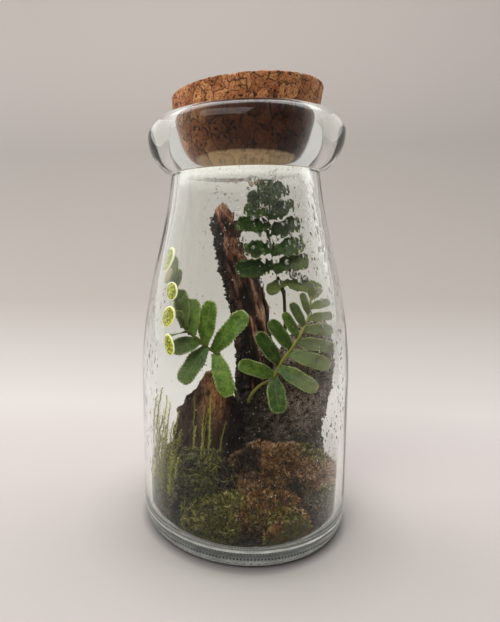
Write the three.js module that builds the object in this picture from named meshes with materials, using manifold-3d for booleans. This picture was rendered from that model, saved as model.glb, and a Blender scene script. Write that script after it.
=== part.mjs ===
// Bottle terrarium: a clear glass jar with a cork stopper, holding peat, driftwood, bark, moss and
// three fern fronds. Millimetres, +Z up. The origin is the centre of the ring that the jar stands
// on, the jar's axis is Z, and the side that is looked at faces -Y.

import * as THREE from 'three';
import { mergeVertices } from 'three/addons/utils/BufferGeometryUtils.js';
import Module from 'manifold-3d';

const wasm = await Module();
wasm.setup();

// Driving dimensions
const gap = 0.3; // clearance between two pieces that touch
const jar = {
  sides: 32,
  bodyRadius: 36,
  footRadius: 30.5,
  cornerHeight: 10.8,
  cornerRoundness: 3.07, // exponent of the outer bottom corner
  shoulderStart: 50.8,
  neckHeight: 120.6,
  neckRadius: 24.8,
  shoulderPull: 1.25, // how long the wall stays upright before the shoulder turns in
  neckSlope: 0.107,
  wall: 2.6,
  neckWall: 3.1,
  floor: 3.2,
  floorRadius: 28.5,
  innerCornerHeight: 7.5,
  innerCornerRoundness: 2.3,
  puntRadius: 26.5,
  puntDepth: 0.7,
  puntBevel: 2, // width of the step up into the hollow under the base
  puntCrown: 0.4, // extra height of that hollow at the axis
};
const lip = {
  radius: 32.5,
  middle: 132.6, // height of its widest ring
  rise: 6.7,
  drop: 11.8,
  squareness: 0.88, // exponent of the rounded upper half
  taper: 1.1, // and of the lower half, which runs out to the neck
  crown: 1.4, // how far the top edge of the mouth is rounded off
  crownDrop: 0.35,
};
const cork = {
  sides: 32,
  bottom: 127,
  waist: 140.5, // height of the rim, where the pressed part of the plug ends
  top: 146.8,
  bottomRadius: 20.4,
  waistRadius: 24.1,
  topRadius: 24.9,
  topTilt: 0.04, // slant of the cut top, higher to the right
  topShift: 0.4, // how far the free end leans to the right
  chamfer: 0.5,
};
const mouth = { seatTop: 138.2, seatBottom: 132.8 };
const soil = {
  sides: 20,
  front: 5.6, // height at the front and at the back
  back: 19.5,
  frontEdge: -30,
  backEdge: 22,
  relief: 0.5, // height of its lumps
  grain: 13, // and how far apart they are
};
const leafyStem = { radius: 0.5, leafRadius: 1.05, whorls: 8, turn: 0.9, taper: 0.55 };
const leafThickness = 0.65;
const leafArch = 0.18; // rise of a leaflet's middle over its length
const leafHollow = 0.12; // how much its edges turn up, over its half width
const scallop = 0.05; // waves of its edge, over its half width
const stalkRadius = { root: 0.62, taper: 0.22 };
const wallMargin = 1.0; // least distance from a leaf's middle surface to the glass
const mossTuft = 0.9; // height of the small tufts on a moss cushion

// Finishes
function finish(colour, roughness) {
  return new THREE.MeshStandardMaterial({ color: colour, roughness, metalness: 0 });
}

const glassFinish = finish('#dfe6e0', 0.05);
glassFinish.transparent = true;
glassFinish.opacity = 0.25;
const corkFinish = finish('#a5744b', 0.85);
const soilFinish = finish('#2b211b', 0.95);
const peatFinish = finish('#3d322b', 0.95);
const woodFinish = finish('#4a2c20', 0.8);
const barkFinish = finish('#4c3c31', 0.85);
const fernFinish = finish('#4f7a2c', 0.5);
const darkFernFinish = finish('#33511f', 0.5);
const greenMossFinish = finish('#5b5f24', 0.9);
const rustMossFinish = finish('#7a4f26', 0.9);
const brownMossFinish = finish('#5f452b', 0.9);
const greyMossFinish = finish('#5b544a', 0.9);
const sprigFinish = finish('#8f9b46', 0.7);

// Small helpers
function smoothStep(from, to, value) {
  const t = Math.min(Math.max((value - from) / (to - from), 0), 1);
  return t * t * (3 - 2 * t);
}

// A repeatable rough field between -1 and 1, with bumps about `size` apart
function rough(x, y, z, size) {
  const k = (2 * Math.PI) / size;
  const a = Math.sin(k * (0.9 * x + 0.37 * y - 0.21 * z) + 1.3);
  const b = Math.sin(k * (-0.43 * x + 0.83 * y + 0.35 * z) + 4.1);
  const c = Math.sin(k * (0.31 * x - 0.45 * y + 0.88 * z) + 2.2);
  return (a * b + b * c + c * a) / 1.6;
}

function signedVolume(position, index) {
  let total = 0;
  const a = new THREE.Vector3();
  const b = new THREE.Vector3();
  const c = new THREE.Vector3();
  for (let i = 0; i < index.length; i += 3) {
    a.fromBufferAttribute(position, index[i]);
    b.fromBufferAttribute(position, index[i + 1]);
    c.fromBufferAttribute(position, index[i + 2]);
    total += a.dot(b.cross(c));
  }
  return total / 6;
}

// Merges shared vertices, drops collapsed triangles and turns the faces outwards
function closedBody(geometry) {
  geometry.deleteAttribute('normal');
  geometry.deleteAttribute('uv');
  const merged = mergeVertices(geometry, 1e-4);
  const source = merged.index.array;
  const kept = [];
  for (let i = 0; i < source.length; i += 3) {
    const [a, b, c] = [source[i], source[i + 1], source[i + 2]];
    if (a !== b && b !== c && c !== a) kept.push(a, b, c);
  }
  if (signedVolume(merged.attributes.position, kept) < 0) kept.reverse();
  merged.setIndex(kept);
  return merged;
}

function toSolid(geometry) {
  const body = closedBody(geometry.clone());
  const vertProperties = new Float32Array(body.attributes.position.array);
  const triVerts = new Uint32Array(body.index.array);
  return new wasm.Manifold(new wasm.Mesh({ numProp: 3, vertProperties, triVerts }));
}

function toGeometry(solid) {
  const mesh = solid.getMesh();
  const geometry = new THREE.BufferGeometry();
  const points = [];
  for (let i = 0; i < mesh.vertProperties.length; i += mesh.numProp) {
    points.push(mesh.vertProperties[i], mesh.vertProperties[i + 1], mesh.vertProperties[i + 2]);
  }
  geometry.setAttribute('position', new THREE.Float32BufferAttribute(points, 3));
  geometry.setIndex([...mesh.triVerts]);
  return geometry;
}

function volumeOf(solid) {
  const geometry = toGeometry(solid);
  return signedVolume(geometry.attributes.position, geometry.index.array);
}

// The largest single body of a solid; loose scraps left by a cut are dropped
function largestBody(solid) {
  const bodies = solid.decompose();
  let best = bodies[0];
  for (const body of bodies) {
    if (volumeOf(body) > volumeOf(best)) best = body;
  }
  return best;
}

function joined(geometries) {
  let solid = toSolid(geometries[0]);
  for (const geometry of geometries.slice(1)) solid = solid.add(toSolid(geometry));
  return toGeometry(largestBody(solid));
}

function cutBack(geometry, cutters, within = null) {
  let solid = toSolid(geometry);
  for (const cutter of cutters) solid = solid.subtract(toSolid(cutter));
  if (within) solid = solid.intersect(toSolid(within));
  return toGeometry(largestBody(solid));
}

// A closed body through rings of points, each ring with the same number of points
function loft(rings) {
  const sides = rings[0].length;
  const points = rings.flat();
  const middles = [rings[0], rings[rings.length - 1]].map((ring) => {
    const middle = new THREE.Vector3();
    for (const point of ring) middle.add(point);
    return middle.divideScalar(sides);
  });
  points.push(...middles);
  const [first, last] = [points.length - 2, points.length - 1];
  const faces = [];
  for (let side = 0; side < sides; side += 1) {
    const next = (side + 1) % sides;
    const end = (rings.length - 1) * sides;
    faces.push(first, next, side);
    faces.push(last, end + side, end + next);
    for (let ring = 0; ring < rings.length - 1; ring += 1) {
      const low = ring * sides;
      const high = low + sides;
      faces.push(low + side, low + next, high + next);
      faces.push(low + side, high + next, high + side);
    }
  }
  const geometry = new THREE.BufferGeometry();
  geometry.setAttribute('position', new THREE.Float32BufferAttribute(points.flatMap((p) => p.toArray()), 3));
  geometry.setIndex(faces);
  return closedBody(geometry);
}

// A body turned about Z from a profile of (radius, height) that starts and ends on the axis
function turned(profile, sides) {
  const geometry = new THREE.LatheGeometry(profile, sides);
  geometry.rotateX(Math.PI / 2);
  return closedBody(geometry);
}

function radiusOn(line, height) {
  for (let i = 1; i < line.length; i += 1) {
    const [below, above] = [line[i - 1], line[i]];
    if (height <= above.y) {
      const t = Math.max((height - below.y) / (above.y - below.y), 0);
      return below.x + (above.x - below.x) * t;
    }
  }
  return line[line.length - 1].x;
}

// Glass jar
function corner(startRadius, endRadius, startHeight, rise, roundness, steps) {
  const line = [];
  for (let i = 0; i <= steps; i += 1) {
    const t = (i / steps) * (Math.PI / 2);
    const out = Math.sin(t) ** (2 / roundness);
    const up = 1 - Math.max(Math.cos(t), 0) ** (2 / roundness);
    line.push(new THREE.Vector2(startRadius + (endRadius - startRadius) * out, startHeight + rise * up));
  }
  return line;
}

const shoulderSteps = 7;

function shoulderPoint(t) {
  const span = jar.neckHeight - jar.shoulderStart;
  const start = 2 * t ** 3 - 3 * t ** 2 + 1;
  const leave = t ** 3 - 2 * t ** 2 + t;
  const end = 3 * t ** 2 - 2 * t ** 3;
  const arrive = t ** 3 - t ** 2;
  const radius = start * jar.bodyRadius + end * jar.neckRadius - arrive * jar.neckSlope * span;
  const rise = (leave * jar.shoulderPull + arrive) * span;
  return new THREE.Vector2(radius, start * jar.shoulderStart + end * jar.neckHeight + rise);
}

function outsideLine() {
  const line = corner(jar.footRadius, jar.bodyRadius, 0, jar.cornerHeight, jar.cornerRoundness, 5);
  for (let i = 0; i <= shoulderSteps; i += 1) line.push(shoulderPoint(i / shoulderSteps));
  return line;
}

function insideLine(inset = 0) {
  const floor = jar.floor + inset;
  const wallFrom = jar.bodyRadius - jar.wall - inset;
  const turn = jar.floorRadius - inset;
  const line = corner(turn, wallFrom, floor, jar.innerCornerHeight, jar.innerCornerRoundness, 4);
  for (let i = 0; i <= shoulderSteps; i += 1) {
    const point = shoulderPoint(i / shoulderSteps);
    const wall = jar.wall + (jar.neckWall - jar.wall) * (i / shoulderSteps);
    line.push(new THREE.Vector2(point.x - wall - inset, point.y));
  }
  return line;
}

const innerWall = insideLine();

function corkRadius(height) {
  const plug = [
    new THREE.Vector2(cork.bottomRadius, cork.bottom),
    new THREE.Vector2(cork.waistRadius, cork.waist),
    new THREE.Vector2(cork.topRadius, cork.top),
  ];
  return radiusOn(plug, height);
}

function lipLine() {
  const line = [];
  const inner = jar.neckRadius - 1;
  const steps = 8;
  for (let i = 1; i < steps; i += 1) {
    const t = -Math.PI / 2 + (i / steps) * Math.PI;
    const power = t > 0 ? lip.squareness : lip.taper;
    const out = Math.cos(t) ** power;
    const up = Math.abs(Math.sin(t)) ** power * Math.sign(t);
    const reach = inner + (lip.radius - inner) * out;
    line.push(new THREE.Vector2(reach, lip.middle + up * (t > 0 ? lip.rise : lip.drop)));
  }
  return line;
}

function glassJar() {
  const seatRadius = corkRadius(mouth.seatTop) + gap;
  const lipTop = lip.middle + lip.rise;
  const profile = [
    new THREE.Vector2(0, jar.puntDepth + jar.puntCrown),
    new THREE.Vector2(jar.puntRadius - jar.puntBevel, jar.puntDepth),
    new THREE.Vector2(jar.puntRadius, 0),
    ...outsideLine(),
    new THREE.Vector2(jar.neckRadius, lip.middle - lip.drop),
    ...lipLine(),
    new THREE.Vector2(seatRadius + lip.crown, lipTop),
    new THREE.Vector2(seatRadius + lip.crown / 3, lipTop - lip.crownDrop),
    new THREE.Vector2(seatRadius, mouth.seatTop),
    new THREE.Vector2(corkRadius(mouth.seatBottom) + gap, mouth.seatBottom),
    new THREE.Vector2(jar.neckRadius - jar.neckWall, (jar.neckHeight + mouth.seatBottom) / 2),
    ...insideLine().reverse(),
    new THREE.Vector2(0, jar.floor),
  ];
  return turned(profile, jar.sides);
}

// The space inside the jar, kept clear of the glass; what lies against the wall is trimmed to it
const jarSpace = turned(
  [
    new THREE.Vector2(0, jar.floor + gap),
    ...insideLine(gap),
    new THREE.Vector2(0, jar.neckHeight),
  ],
  jar.sides,
);

// Cork stopper: a tapered plug whose top is cut slightly slanting
function corkStopper() {
  const levels = [
    [cork.bottom, -cork.chamfer],
    [cork.bottom + cork.chamfer, 0],
    [cork.waist, 0],
    [cork.top - cork.chamfer, 0],
    [cork.top, -cork.chamfer],
  ];
  const rings = levels.map(([height, inset]) => {
    const ring = [];
    const free = smoothStep(cork.waist, cork.top, height);
    const slant = free * cork.topTilt;
    const lean = free * cork.topShift;
    for (let side = 0; side < cork.sides; side += 1) {
      const angle = (side / cork.sides) * 2 * Math.PI;
      const radius = corkRadius(height) + inset;
      const x = radius * Math.cos(angle) + lean;
      ring.push(new THREE.Vector3(x, radius * Math.sin(angle), height + slant * x));
    }
    return ring;
  });
  return loft(rings);
}

// Peat and soil, banked up towards the back
function soilTop(x, y) {
  const bank = smoothStep(soil.frontEdge, soil.backEdge, y) * (soil.back - soil.front);
  return soil.front + bank + soil.relief * rough(x, y, 0, soil.grain);
}

// Reaches past the inner wall, and is trimmed to the space in the jar
function soilBed(raise = 0) {
  const rings = [];
  const edge = jar.bodyRadius - jar.wall / 2;
  const under = jar.floor;
  rings.push(ringAt(soil.sides, edge, () => under));
  for (const part of [1, 0.78, 0.54, 0.28]) {
    rings.push(ringAt(soil.sides, part * edge, (x, y) => soilTop(x, y) + raise));
  }
  return loft(rings);
}

function ringAt(sides, radius, heightAt, x0 = 0, y0 = 0, radiusY = radius) {
  const ring = [];
  for (let side = 0; side < sides; side += 1) {
    const angle = (side / sides) * 2 * Math.PI;
    const x = x0 + radius * Math.cos(angle);
    const y = y0 + radiusY * Math.sin(angle);
    ring.push(new THREE.Vector3(x, y, heightAt(x, y, angle)));
  }
  return ring;
}

const raisedSoil = soilBed(gap);

// Rounded lumps: rings of [height, x, y, radius in x, radius in y], smoothed between them
function lumpRings(keys, { sides, count, relief, grain }, grow = 0) {
  const rings = [];
  const curve = (column) => new THREE.CatmullRomCurve3(
    keys.map((key) => new THREE.Vector3(key[0], key[column], 0)),
    false,
    'catmullrom',
    0.5,
  );
  const columns = [1, 2, 3, 4].map(curve);
  for (let i = 0; i < count; i += 1) {
    const t = i / (count - 1);
    const height = columns[0].getPoint(t).x;
    const [x0, y0, radiusX, radiusY] = columns.map((column) => column.getPoint(t).y);
    const ring = [];
    for (let side = 0; side < sides; side += 1) {
      const angle = (side / sides) * 2 * Math.PI;
      const [c, s] = [Math.cos(angle), Math.sin(angle)];
      const bump = relief * rough(x0 + radiusX * c, y0 + radiusY * s, height, grain);
      const x = x0 + (radiusX + bump + grow) * c;
      const y = y0 + (radiusY + bump + grow) * s;
      ring.push(new THREE.Vector3(x, y, height));
    }
    rings.push(ring);
  }
  return rings;
}

// Driftwood: a tall fibrous stick that leans to the left and stands in the soil
const stickKeys = [
  [12.5, 6.8, 8.5, 8.8, 7.6],
  [24, 6.8, 8.5, 9.2, 7.6],
  [36, 6.2, 8.2, 8.8, 7.2],
  [47, 5.6, 7.8, 8, 6.8],
  [58, 4.8, 7.4, 7.3, 6.3],
  [68, 3.4, 7, 6.9, 5.8],
  [77, 1.4, 7, 7.2, 5.6],
  [86, -1.2, 7, 7, 5.4],
  [94, -4.5, 7, 6, 5],
  [100, -6.3, 7, 5.7, 4.6],
  [105.5, -7.4, 7, 5.2, 4],
  [109.5, -7.8, 7, 3.2, 2.6],
  [112.3, -8, 7, 1, 0.9],
];

const stickForm = { sides: 14, count: 22, relief: 0.35, grain: 9 };

// Long fibre ridges that wander round the stick: how many, how deep, and their turn per ring
const fibre = { ridges: 7, depth: 0.05, turn: 0.35 };

function driftwood(grow = 0) {
  const rings = lumpRings(stickKeys, stickForm, grow);
  rings.forEach((ring, level) => {
    const middle = centreOf(ring);
    ring.forEach((point, side) => {
      const angle = (side / ring.length) * 2 * Math.PI;
      const ridge = 1 + fibre.depth * Math.cos(fibre.ridges * angle + fibre.turn * level);
      point.x = middle.x + (point.x - middle.x) * ridge;
      point.y = middle.y + (point.y - middle.y) * ridge;
    });
  });
  if (grow > 0) rings[0].forEach((point) => { point.z -= grow; });
  return loft(rings);
}

function centreOf(ring) {
  const middle = new THREE.Vector3();
  for (const point of ring) middle.add(point);
  return middle.divideScalar(ring.length);
}

// Bark chunk: a short pointed piece with a sharp front ridge. Each level gives its six corners,
// left, front, right, back right, back and back left, as x and y.
const barkLevels = [
  { height: 8, corners: [[-26, -3], [-10, -11.5], [0.5, -5.5], [-4, 4], [-13, 8], [-22, 6]] },
  { height: 22, corners: [[-26, -3], [-10, -11.5], [0.3, -5.5], [-4.2, 4], [-13, 8], [-22, 6]] },
  { height: 32, corners: [[-25.5, -3], [-9.6, -10.8], [0, -6], [-4.6, 3], [-12, 7], [-20, 5]] },
  { height: 39, corners: [[-23.5, -3.5], [-9.5, -10.2], [-0.2, -6.2], [-5, 1.5], [-11, 5], [-18, 3.5]] },
  { height: 44, corners: [[-20, -4], [-9.5, -9.6], [-1.5, -6.6], [-6, -0.5], [-10, 3], [-15.5, 1.5]] },
  { height: 49, corners: [[-16, -5], [-9.6, -8.8], [-6.4, -7], [-7.6, -3.4], [-10, -0.5], [-13.5, -1]] },
  { height: 54.4, corners: [[-11.6, -6], [-10.4, -7], [-9.6, -6.4], [-9.7, -5.4], [-10.4, -5], [-11, -5]] },
];

const barkForm = { perEdge: 3, relief: 0.4, grain: 6 };

function barkChunk(grow = 0) {
  const rings = [];
  barkLevels.forEach((level, index) => {
    const above = barkLevels[Math.min(index + 1, barkLevels.length - 1)];
    const parts = index < barkLevels.length - 1 ? [0, 0.5] : [0];
    for (const part of parts) {
      const ring = [];
      const height = level.height + (above.height - level.height) * part;
      const corners = level.corners.map(([x, y], i) => new THREE.Vector3(
        x + (above.corners[i][0] - x) * part,
        y + (above.corners[i][1] - y) * part,
        height,
      ));
      const middle = centreOf(corners);
      corners.forEach((cornerPoint, i) => {
        const next = corners[(i + 1) % corners.length];
        for (let step = 0; step < barkForm.perEdge; step += 1) {
          const point = cornerPoint.clone().lerp(next, step / barkForm.perEdge);
          const away = point.clone().sub(middle).setZ(0);
          const reach = away.length();
          const field = rough(point.x, point.y, point.z, barkForm.grain);
          const bump = barkForm.relief * field * Math.min(reach / 3, 1);
          point.add(away.normalize().multiplyScalar(bump + grow));
          ring.push(point);
        }
      });
      rings.push(ring);
    }
  });
  if (grow > 0) rings[rings.length - 1].forEach((point) => { point.z += grow; });
  return loft(rings);
}

// Root mass: the rough ball of peat and fern roots at the right and behind the middle
const rootKeys = [
  [9, 12.5, 2.5, 17, 10.5],
  [22, 12.5, 2.5, 17, 10.5],
  [33, 12, 1.8, 16.2, 9.8],
  [41, 14.5, 1.8, 16.4, 9.4],
  [50, 20, 2.5, 13, 9.2],
  [58, 22.8, 3.6, 10.6, 8.8],
  [65, 24.4, 4.2, 8.2, 7.4],
  [69.5, 25, 4.6, 4.8, 4.6],
];

const rootForm = { sides: 16, count: 13, relief: 1, grain: 8 };

// The coarse room that the moss keeps free round the root mass
const rootRoomForm = { sides: 14, count: 7, relief: 0, grain: 8 };
const rootClearance = 1.8;

// Fern fronds. The stalk runs through its points from the root to the tip. A leaflet leaves the
// stalk at a point number and ends at its tip, in millimetres, with its width.
const towardsViewer = [-0.1, -0.9, 0.42];
const towardsGlass = [0.1, 0.55, 0.83];

const rightFrond = {
  stalk: [
    [1.5, -1, 36], [2.5, -2.5, 43.5], [5.5, -5, 48.5], [10, -8, 52.5], [12.5, -10, 58.5],
    [15.5, -11, 63.5], [18, -11, 67.5], [20, -10, 71.5], [21.5, -8, 75], [22.5, -6, 80.5],
  ],
  face: towardsViewer,
  leaflets: [
    { at: 3.1, tip: [12, -13, 42], width: 6 },
    { at: 3.2, tip: [-1.5, -11, 58], width: 5 },
    { at: 3.7, tip: [23.5, -15, 51], width: 5.3 },
    { at: 3.9, tip: [4.5, -13, 69], width: 5 },
    { at: 4.7, tip: [27.5, -13, 58.5], width: 5 },
    { at: 5, tip: [8.5, -12, 73], width: 4.5 },
    { at: 5.6, tip: [29, -11, 64], width: 4.2 },
    { at: 5.9, tip: [13, -11, 75.5], width: 3.2 },
    { at: 6.6, tip: [29, -9, 69.5], width: 3.8 },
    { at: 6.8, tip: [15.5, -9, 78.5], width: 3 },
    { at: 7.5, tip: [29, -7, 74], width: 3.2 },
    { at: 7.8, tip: [19, -7, 81.5], width: 2.6 },
    { at: 8.3, tip: [28.5, -5, 78.5], width: 3 },
    { at: 8.8, tip: [25.5, -4.5, 83], width: 2.8 },
    { at: 8.9, tip: [22, -5.5, 85], width: 2.6 },
  ],
};

const leftFrond = {
  stalk: [
    [-1.5, -0.5, 37], [-2.5, 0, 44], [-4.6, -1, 50], [-7.4, -6, 56], [-9, -10, 61], [-12.5, -12, 64],
    [-15, -13.5, 67], [-18, -14.5, 69.5], [-20.5, -15.5, 74], [-21.5, -15, 80], [-22.5, -14, 87],
  ],
  face: towardsViewer,
  leaflets: [
    { at: 4.1, tip: [-4.5, -15, 48], width: 6.2 },
    { at: 4.3, tip: [1, -12, 75.5], width: 6.4 },
    { at: 4.9, tip: [-20, -16, 52.5], width: 6.2 },
    { at: 5.1, tip: [-10.5, -13, 79.5], width: 5.6 },
    { at: 5.7, tip: [-23, -18.5, 64], width: 5.6 },
    { at: 6.5, tip: [-16.5, -12, 80], width: 5.4 },
    { at: 7.3, tip: [-20.5, -12, 83], width: 5 },
    { at: 6.9, tip: [-22.5, -21.5, 69], width: 4.4, face: towardsGlass },
    { at: 8.1, tip: [-22, -21.5, 77], width: 4.8, face: towardsGlass },
    { at: 9, tip: [-20.5, -21.5, 84], width: 4.2, face: towardsGlass },
    { at: 9.4, tip: [-21.5, -10, 89.5], width: 3.6 },
    { at: 9.8, tip: [-24, -15.5, 94], width: 3.6 },
  ],
};

const backFrond = {
  stalk: [
    [17, 3.5, 50], [15.5, 4, 59], [14.5, 2.5, 76], [13.5, 1, 83.5], [11.5, -1, 86], [10, -2.5, 90],
    [9.5, -4, 95.5], [8, -5, 100.5], [7.5, -6, 105.5], [7, -6.5, 110], [6.5, -7, 114.5],
  ],
  face: [0.05, -0.93, 0.35],
  leaflets: [
    { at: 3, tip: [8, -2, 81.5], width: 4.7 },
    { at: 3.1, tip: [26.5, -2, 82.5], width: 4.4 },
    { at: 4.8, tip: [21.5, -5, 92.5], width: 6 },
    { at: 5, tip: [-2.5, -8, 89], width: 6.5 },
    { at: 5.9, tip: [19.5, -6, 98], width: 5.7 },
    { at: 6.1, tip: [0.5, -8, 96], width: 5.6 },
    { at: 7.1, tip: [18, -6.5, 104.5], width: 5.5 },
    { at: 7.6, tip: [-2.5, -9, 104], width: 6 },
    { at: 8.2, tip: [15.5, -7, 110.5], width: 4.9 },
    { at: 8.5, tip: [0, -8.5, 108.5], width: 4.4 },
    { at: 9.1, tip: [13, -7, 116.5], width: 5.2 },
    { at: 9.2, tip: [1, -8, 113], width: 4.9 },
    { at: 9.7, tip: [5, -8, 118], width: 4.4 },
    { at: 9.8, tip: [8.5, -7.5, 118.3], width: 4.4 },
  ],
};

// Moves a point of a leaf's middle surface in until it clears the glass
function clearOfGlass(point) {
  const limit = radiusOn(innerWall, point.z) - wallMargin;
  const reach = Math.hypot(point.x, point.y);
  if (reach <= limit) return point;
  point.x *= limit / reach;
  point.y *= limit / reach;
  return point;
}

function stalkCurve(frond) {
  return new THREE.CatmullRomCurve3(frond.stalk.map((p) => new THREE.Vector3(...p)));
}

function stalkBody(frond, grow = 0, to = 1) {
  const curve = stalkCurve(frond);
  const steps = 15;
  const sides = 4;
  const rings = [];
  for (let i = 0; i <= steps; i += 1) {
    const t = to * (i / steps);
    const middle = curve.getPoint(t);
    const along = curve.getTangent(t);
    if (i === 0) middle.addScaledVector(along, -grow);
    const across = new THREE.Vector3(0, 0, 1).cross(along).normalize();
    if (across.lengthSq() < 0.5) across.set(1, 0, 0);
    const over = along.clone().cross(across).normalize();
    const radius = stalkRadius.root - stalkRadius.taper * t + grow;
    const ring = [];
    for (let side = 0; side < sides; side += 1) {
      const angle = (side / sides) * 2 * Math.PI;
      const point = middle.clone();
      point.addScaledVector(across, radius * Math.cos(angle));
      point.addScaledVector(over, radius * Math.sin(angle));
      ring.push(point);
    }
    rings.push(ring);
  }
  return loft(rings);
}

// Half width of a leaflet along its length: narrow at the stalk, rounded at the tip
function leafletShape(u) {
  const base = 0.5 + 0.5 * smoothStep(0, 0.4, u);
  const roundFrom = 0.74;
  const tip = u > roundFrom ? Math.sqrt(Math.max(1 - ((u - roundFrom) / (1.02 - roundFrom)) ** 2, 0)) : 1;
  return base * tip;
}

// One leaflet: a thin arched blade with a scalloped edge. Its lower face uses the same diagonals
// as the upper one, so that the blade is equally thick all over.
function leafletBody(root, tip, width, face, stations) {
  const axis = tip.clone().sub(root);
  const along = axis.clone().normalize();
  const across = face.clone().cross(along).normalize();
  const up = along.clone().cross(across).normalize();
  const length = axis.length();
  const columns = [-1, 0, 1];
  const span = columns.length;
  const middles = [];
  for (let i = 0; i < stations; i += 1) {
    const u = i / (stations - 1);
    const half = 0.5 * width * leafletShape(u) * (1 + (i % 2 === 0 ? -scallop : scallop));
    const arch = leafArch * length * u * (1 - u);
    for (const column of columns) {
      const point = root.clone().addScaledVector(axis, u);
      point.addScaledVector(across, column * half);
      point.addScaledVector(up, arch + leafHollow * half * column * column);
      middles.push(clearOfGlass(point));
    }
  }
  const count = middles.length;
  const points = [];
  for (const offset of [leafThickness / 2, -leafThickness / 2]) {
    for (const middle of middles) points.push(middle.clone().addScaledVector(up, offset));
  }
  const faces = [];
  const cell = (a, b, c, d) => faces.push(a, b, c, a, c, d);
  for (let i = 0; i < stations - 1; i += 1) {
    for (let j = 0; j < span - 1; j += 1) {
      const a = i * span + j;
      cell(a, a + 1, a + span + 1, a + span);
      cell(count + a, count + a + span, count + a + span + 1, count + a + 1);
    }
    const left = i * span;
    const right = left + span - 1;
    cell(left, left + span, count + left + span, count + left);
    cell(right, count + right, count + right + span, right + span);
  }
  for (let j = 0; j < span - 1; j += 1) {
    const end = (stations - 1) * span + j;
    cell(j, count + j, count + j + 1, j + 1);
    cell(end, end + 1, count + end + 1, count + end);
  }
  const geometry = new THREE.BufferGeometry();
  geometry.setAttribute('position', new THREE.Float32BufferAttribute(points.flatMap((p) => p.toArray()), 3));
  geometry.setIndex(faces);
  return closedBody(geometry);
}

function fernFrond(frond) {
  const curve = stalkCurve(frond);
  const pieces = [stalkBody(frond)];
  for (const leaflet of frond.leaflets) {
    const root = curve.getPoint(leaflet.at / (frond.stalk.length - 1));
    const tip = clearOfGlass(new THREE.Vector3(...leaflet.tip));
    const face = new THREE.Vector3(...(leaflet.face ?? frond.face));
    const stations = leaflet.width > 4.9 ? 9 : 7;
    pieces.push(leafletBody(root, tip, leaflet.width, face, stations));
  }
  return joined(pieces);
}

// Moss cushions: low domes covered in small tufts, which stand in the soil and fill up to their
// neighbours
const cushions = {
  frontGreen: { x: -8, y: -23, radiusX: 11.5, radiusY: 8.5, crest: 18 },
  frontRust: { x: 10.5, y: -21, radiusX: 10.5, radiusY: 8, crest: 18.5 },
  frontRight: { x: 14.5, y: -28, radiusX: 8.5, radiusY: 5, crest: 12.5 },
  right: { x: 25, y: -14.5, radiusX: 8.8, radiusY: 10, crest: 19 },
  mound: { x: 13, y: -9, radiusX: 20.5, radiusY: 12, crest: 30 },
  left: { x: -14.5, y: -16, radiusX: 13, radiusY: 9.5, crest: 29 },
  back: { x: -9, y: 20, radiusX: 17, radiusY: 10, crest: 27 },
};

function cushionBody(cushion, grow = 0) {
  const sides = 20;
  const floor = jar.floor;
  const { x: x0, y: y0 } = cushion;
  const foot = 0.55; // the cushion narrows below the soil
  const soilHere = soilTop(x0, y0);
  const rings = [ringAt(sides, foot * cushion.radiusX, () => floor, x0, y0, foot * cushion.radiusY)];
  for (const part of [1, 1, 0.92, 0.78, 0.61, 0.43, 0.25]) {
    const level = rings.length;
    const radiusX = part * (cushion.radiusX + grow);
    const radiusY = part * (cushion.radiusY + grow);
    const lobes = (x, y) => {
      if (level === 1) return floor;
      const dome = (1 - 0.985 * part ** 2.4) ** 0.55;
      const relief = 0.6 * rough(x, y, 0, 4.2) + 0.4 * rough(x, y, 7, 2.7);
      return soilHere + (cushion.crest - soilHere) * dome + relief * dome + grow;
    };
    const ring = ringAt(sides, radiusX, lobes, x0, y0, radiusY);
    ring.forEach((point, side) => {
      const tuft = side % 2 === 0 && level % 2 === 0 ? mossTuft : -mossTuft / 3;
      const angle = (side / sides) * 2 * Math.PI;
      point.x += tuft * part * Math.cos(angle);
      point.y += tuft * part * Math.sin(angle);
      if (level > 1) point.z += tuft;
    });
    rings.push(ring);
  }
  return loft(rings);
}

// Feathery moss: a leafy stem as a stack of small three-pointed whorls
function stemCurve({ base, tip, lean }) {
  return new THREE.QuadraticBezierCurve3(
    new THREE.Vector3(...base),
    new THREE.Vector3(base[0] + lean, base[1], (base[2] + tip[2]) / 2),
    new THREE.Vector3(...tip),
  );
}

function mossStem(stem) {
  const sides = 3;
  const curve = stemCurve(stem);
  const rings = [];
  const levels = 2 * leafyStem.whorls + 1;
  for (let i = 0; i <= levels; i += 1) {
    const t = i / levels;
    const middle = curve.getPoint(t);
    const wide = i % 2 === 1;
    const radius = (wide ? leafyStem.leafRadius : leafyStem.radius) * (1 - leafyStem.taper * t ** 4);
    const turn = Math.floor(i / 2) * leafyStem.turn;
    const ring = [];
    for (let side = 0; side < sides; side += 1) {
      const angle = turn + (side / sides) * 2 * Math.PI;
      ring.push(new THREE.Vector3(
        middle.x + radius * Math.cos(angle),
        middle.y + radius * Math.sin(angle),
        middle.z,
      ));
    }
    rings.push(ring);
  }
  return loft(rings);
}

const wallTuft = {
  pad: { x: -25, y: -15.5, radiusX: 5.5, radiusY: 7.5, crest: 16 },
  stems: [
    { base: [-29, -12.5, 13], tip: [-26.6, -13.5, 50], lean: -1.4 },
    { base: [-28, -14, 13], tip: [-25.2, -13.5, 47.5], lean: 0.6 },
    { base: [-27.5, -16, 13], tip: [-26.2, -15, 41], lean: -0.6 },
    { base: [-26.3, -13, 13], tip: [-23.4, -12.5, 38], lean: 0.8 },
    { base: [-26, -18, 13], tip: [-24.4, -17.5, 35], lean: -0.5 },
    { base: [-24.8, -14.5, 13], tip: [-21.2, -14, 42], lean: 0.3 },
    { base: [-24, -19.5, 12.5], tip: [-22.6, -18.5, 30], lean: 0.5 },
    { base: [-23, -16, 13], tip: [-20.2, -15.5, 36], lean: -0.7 },
  ],
};

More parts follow.
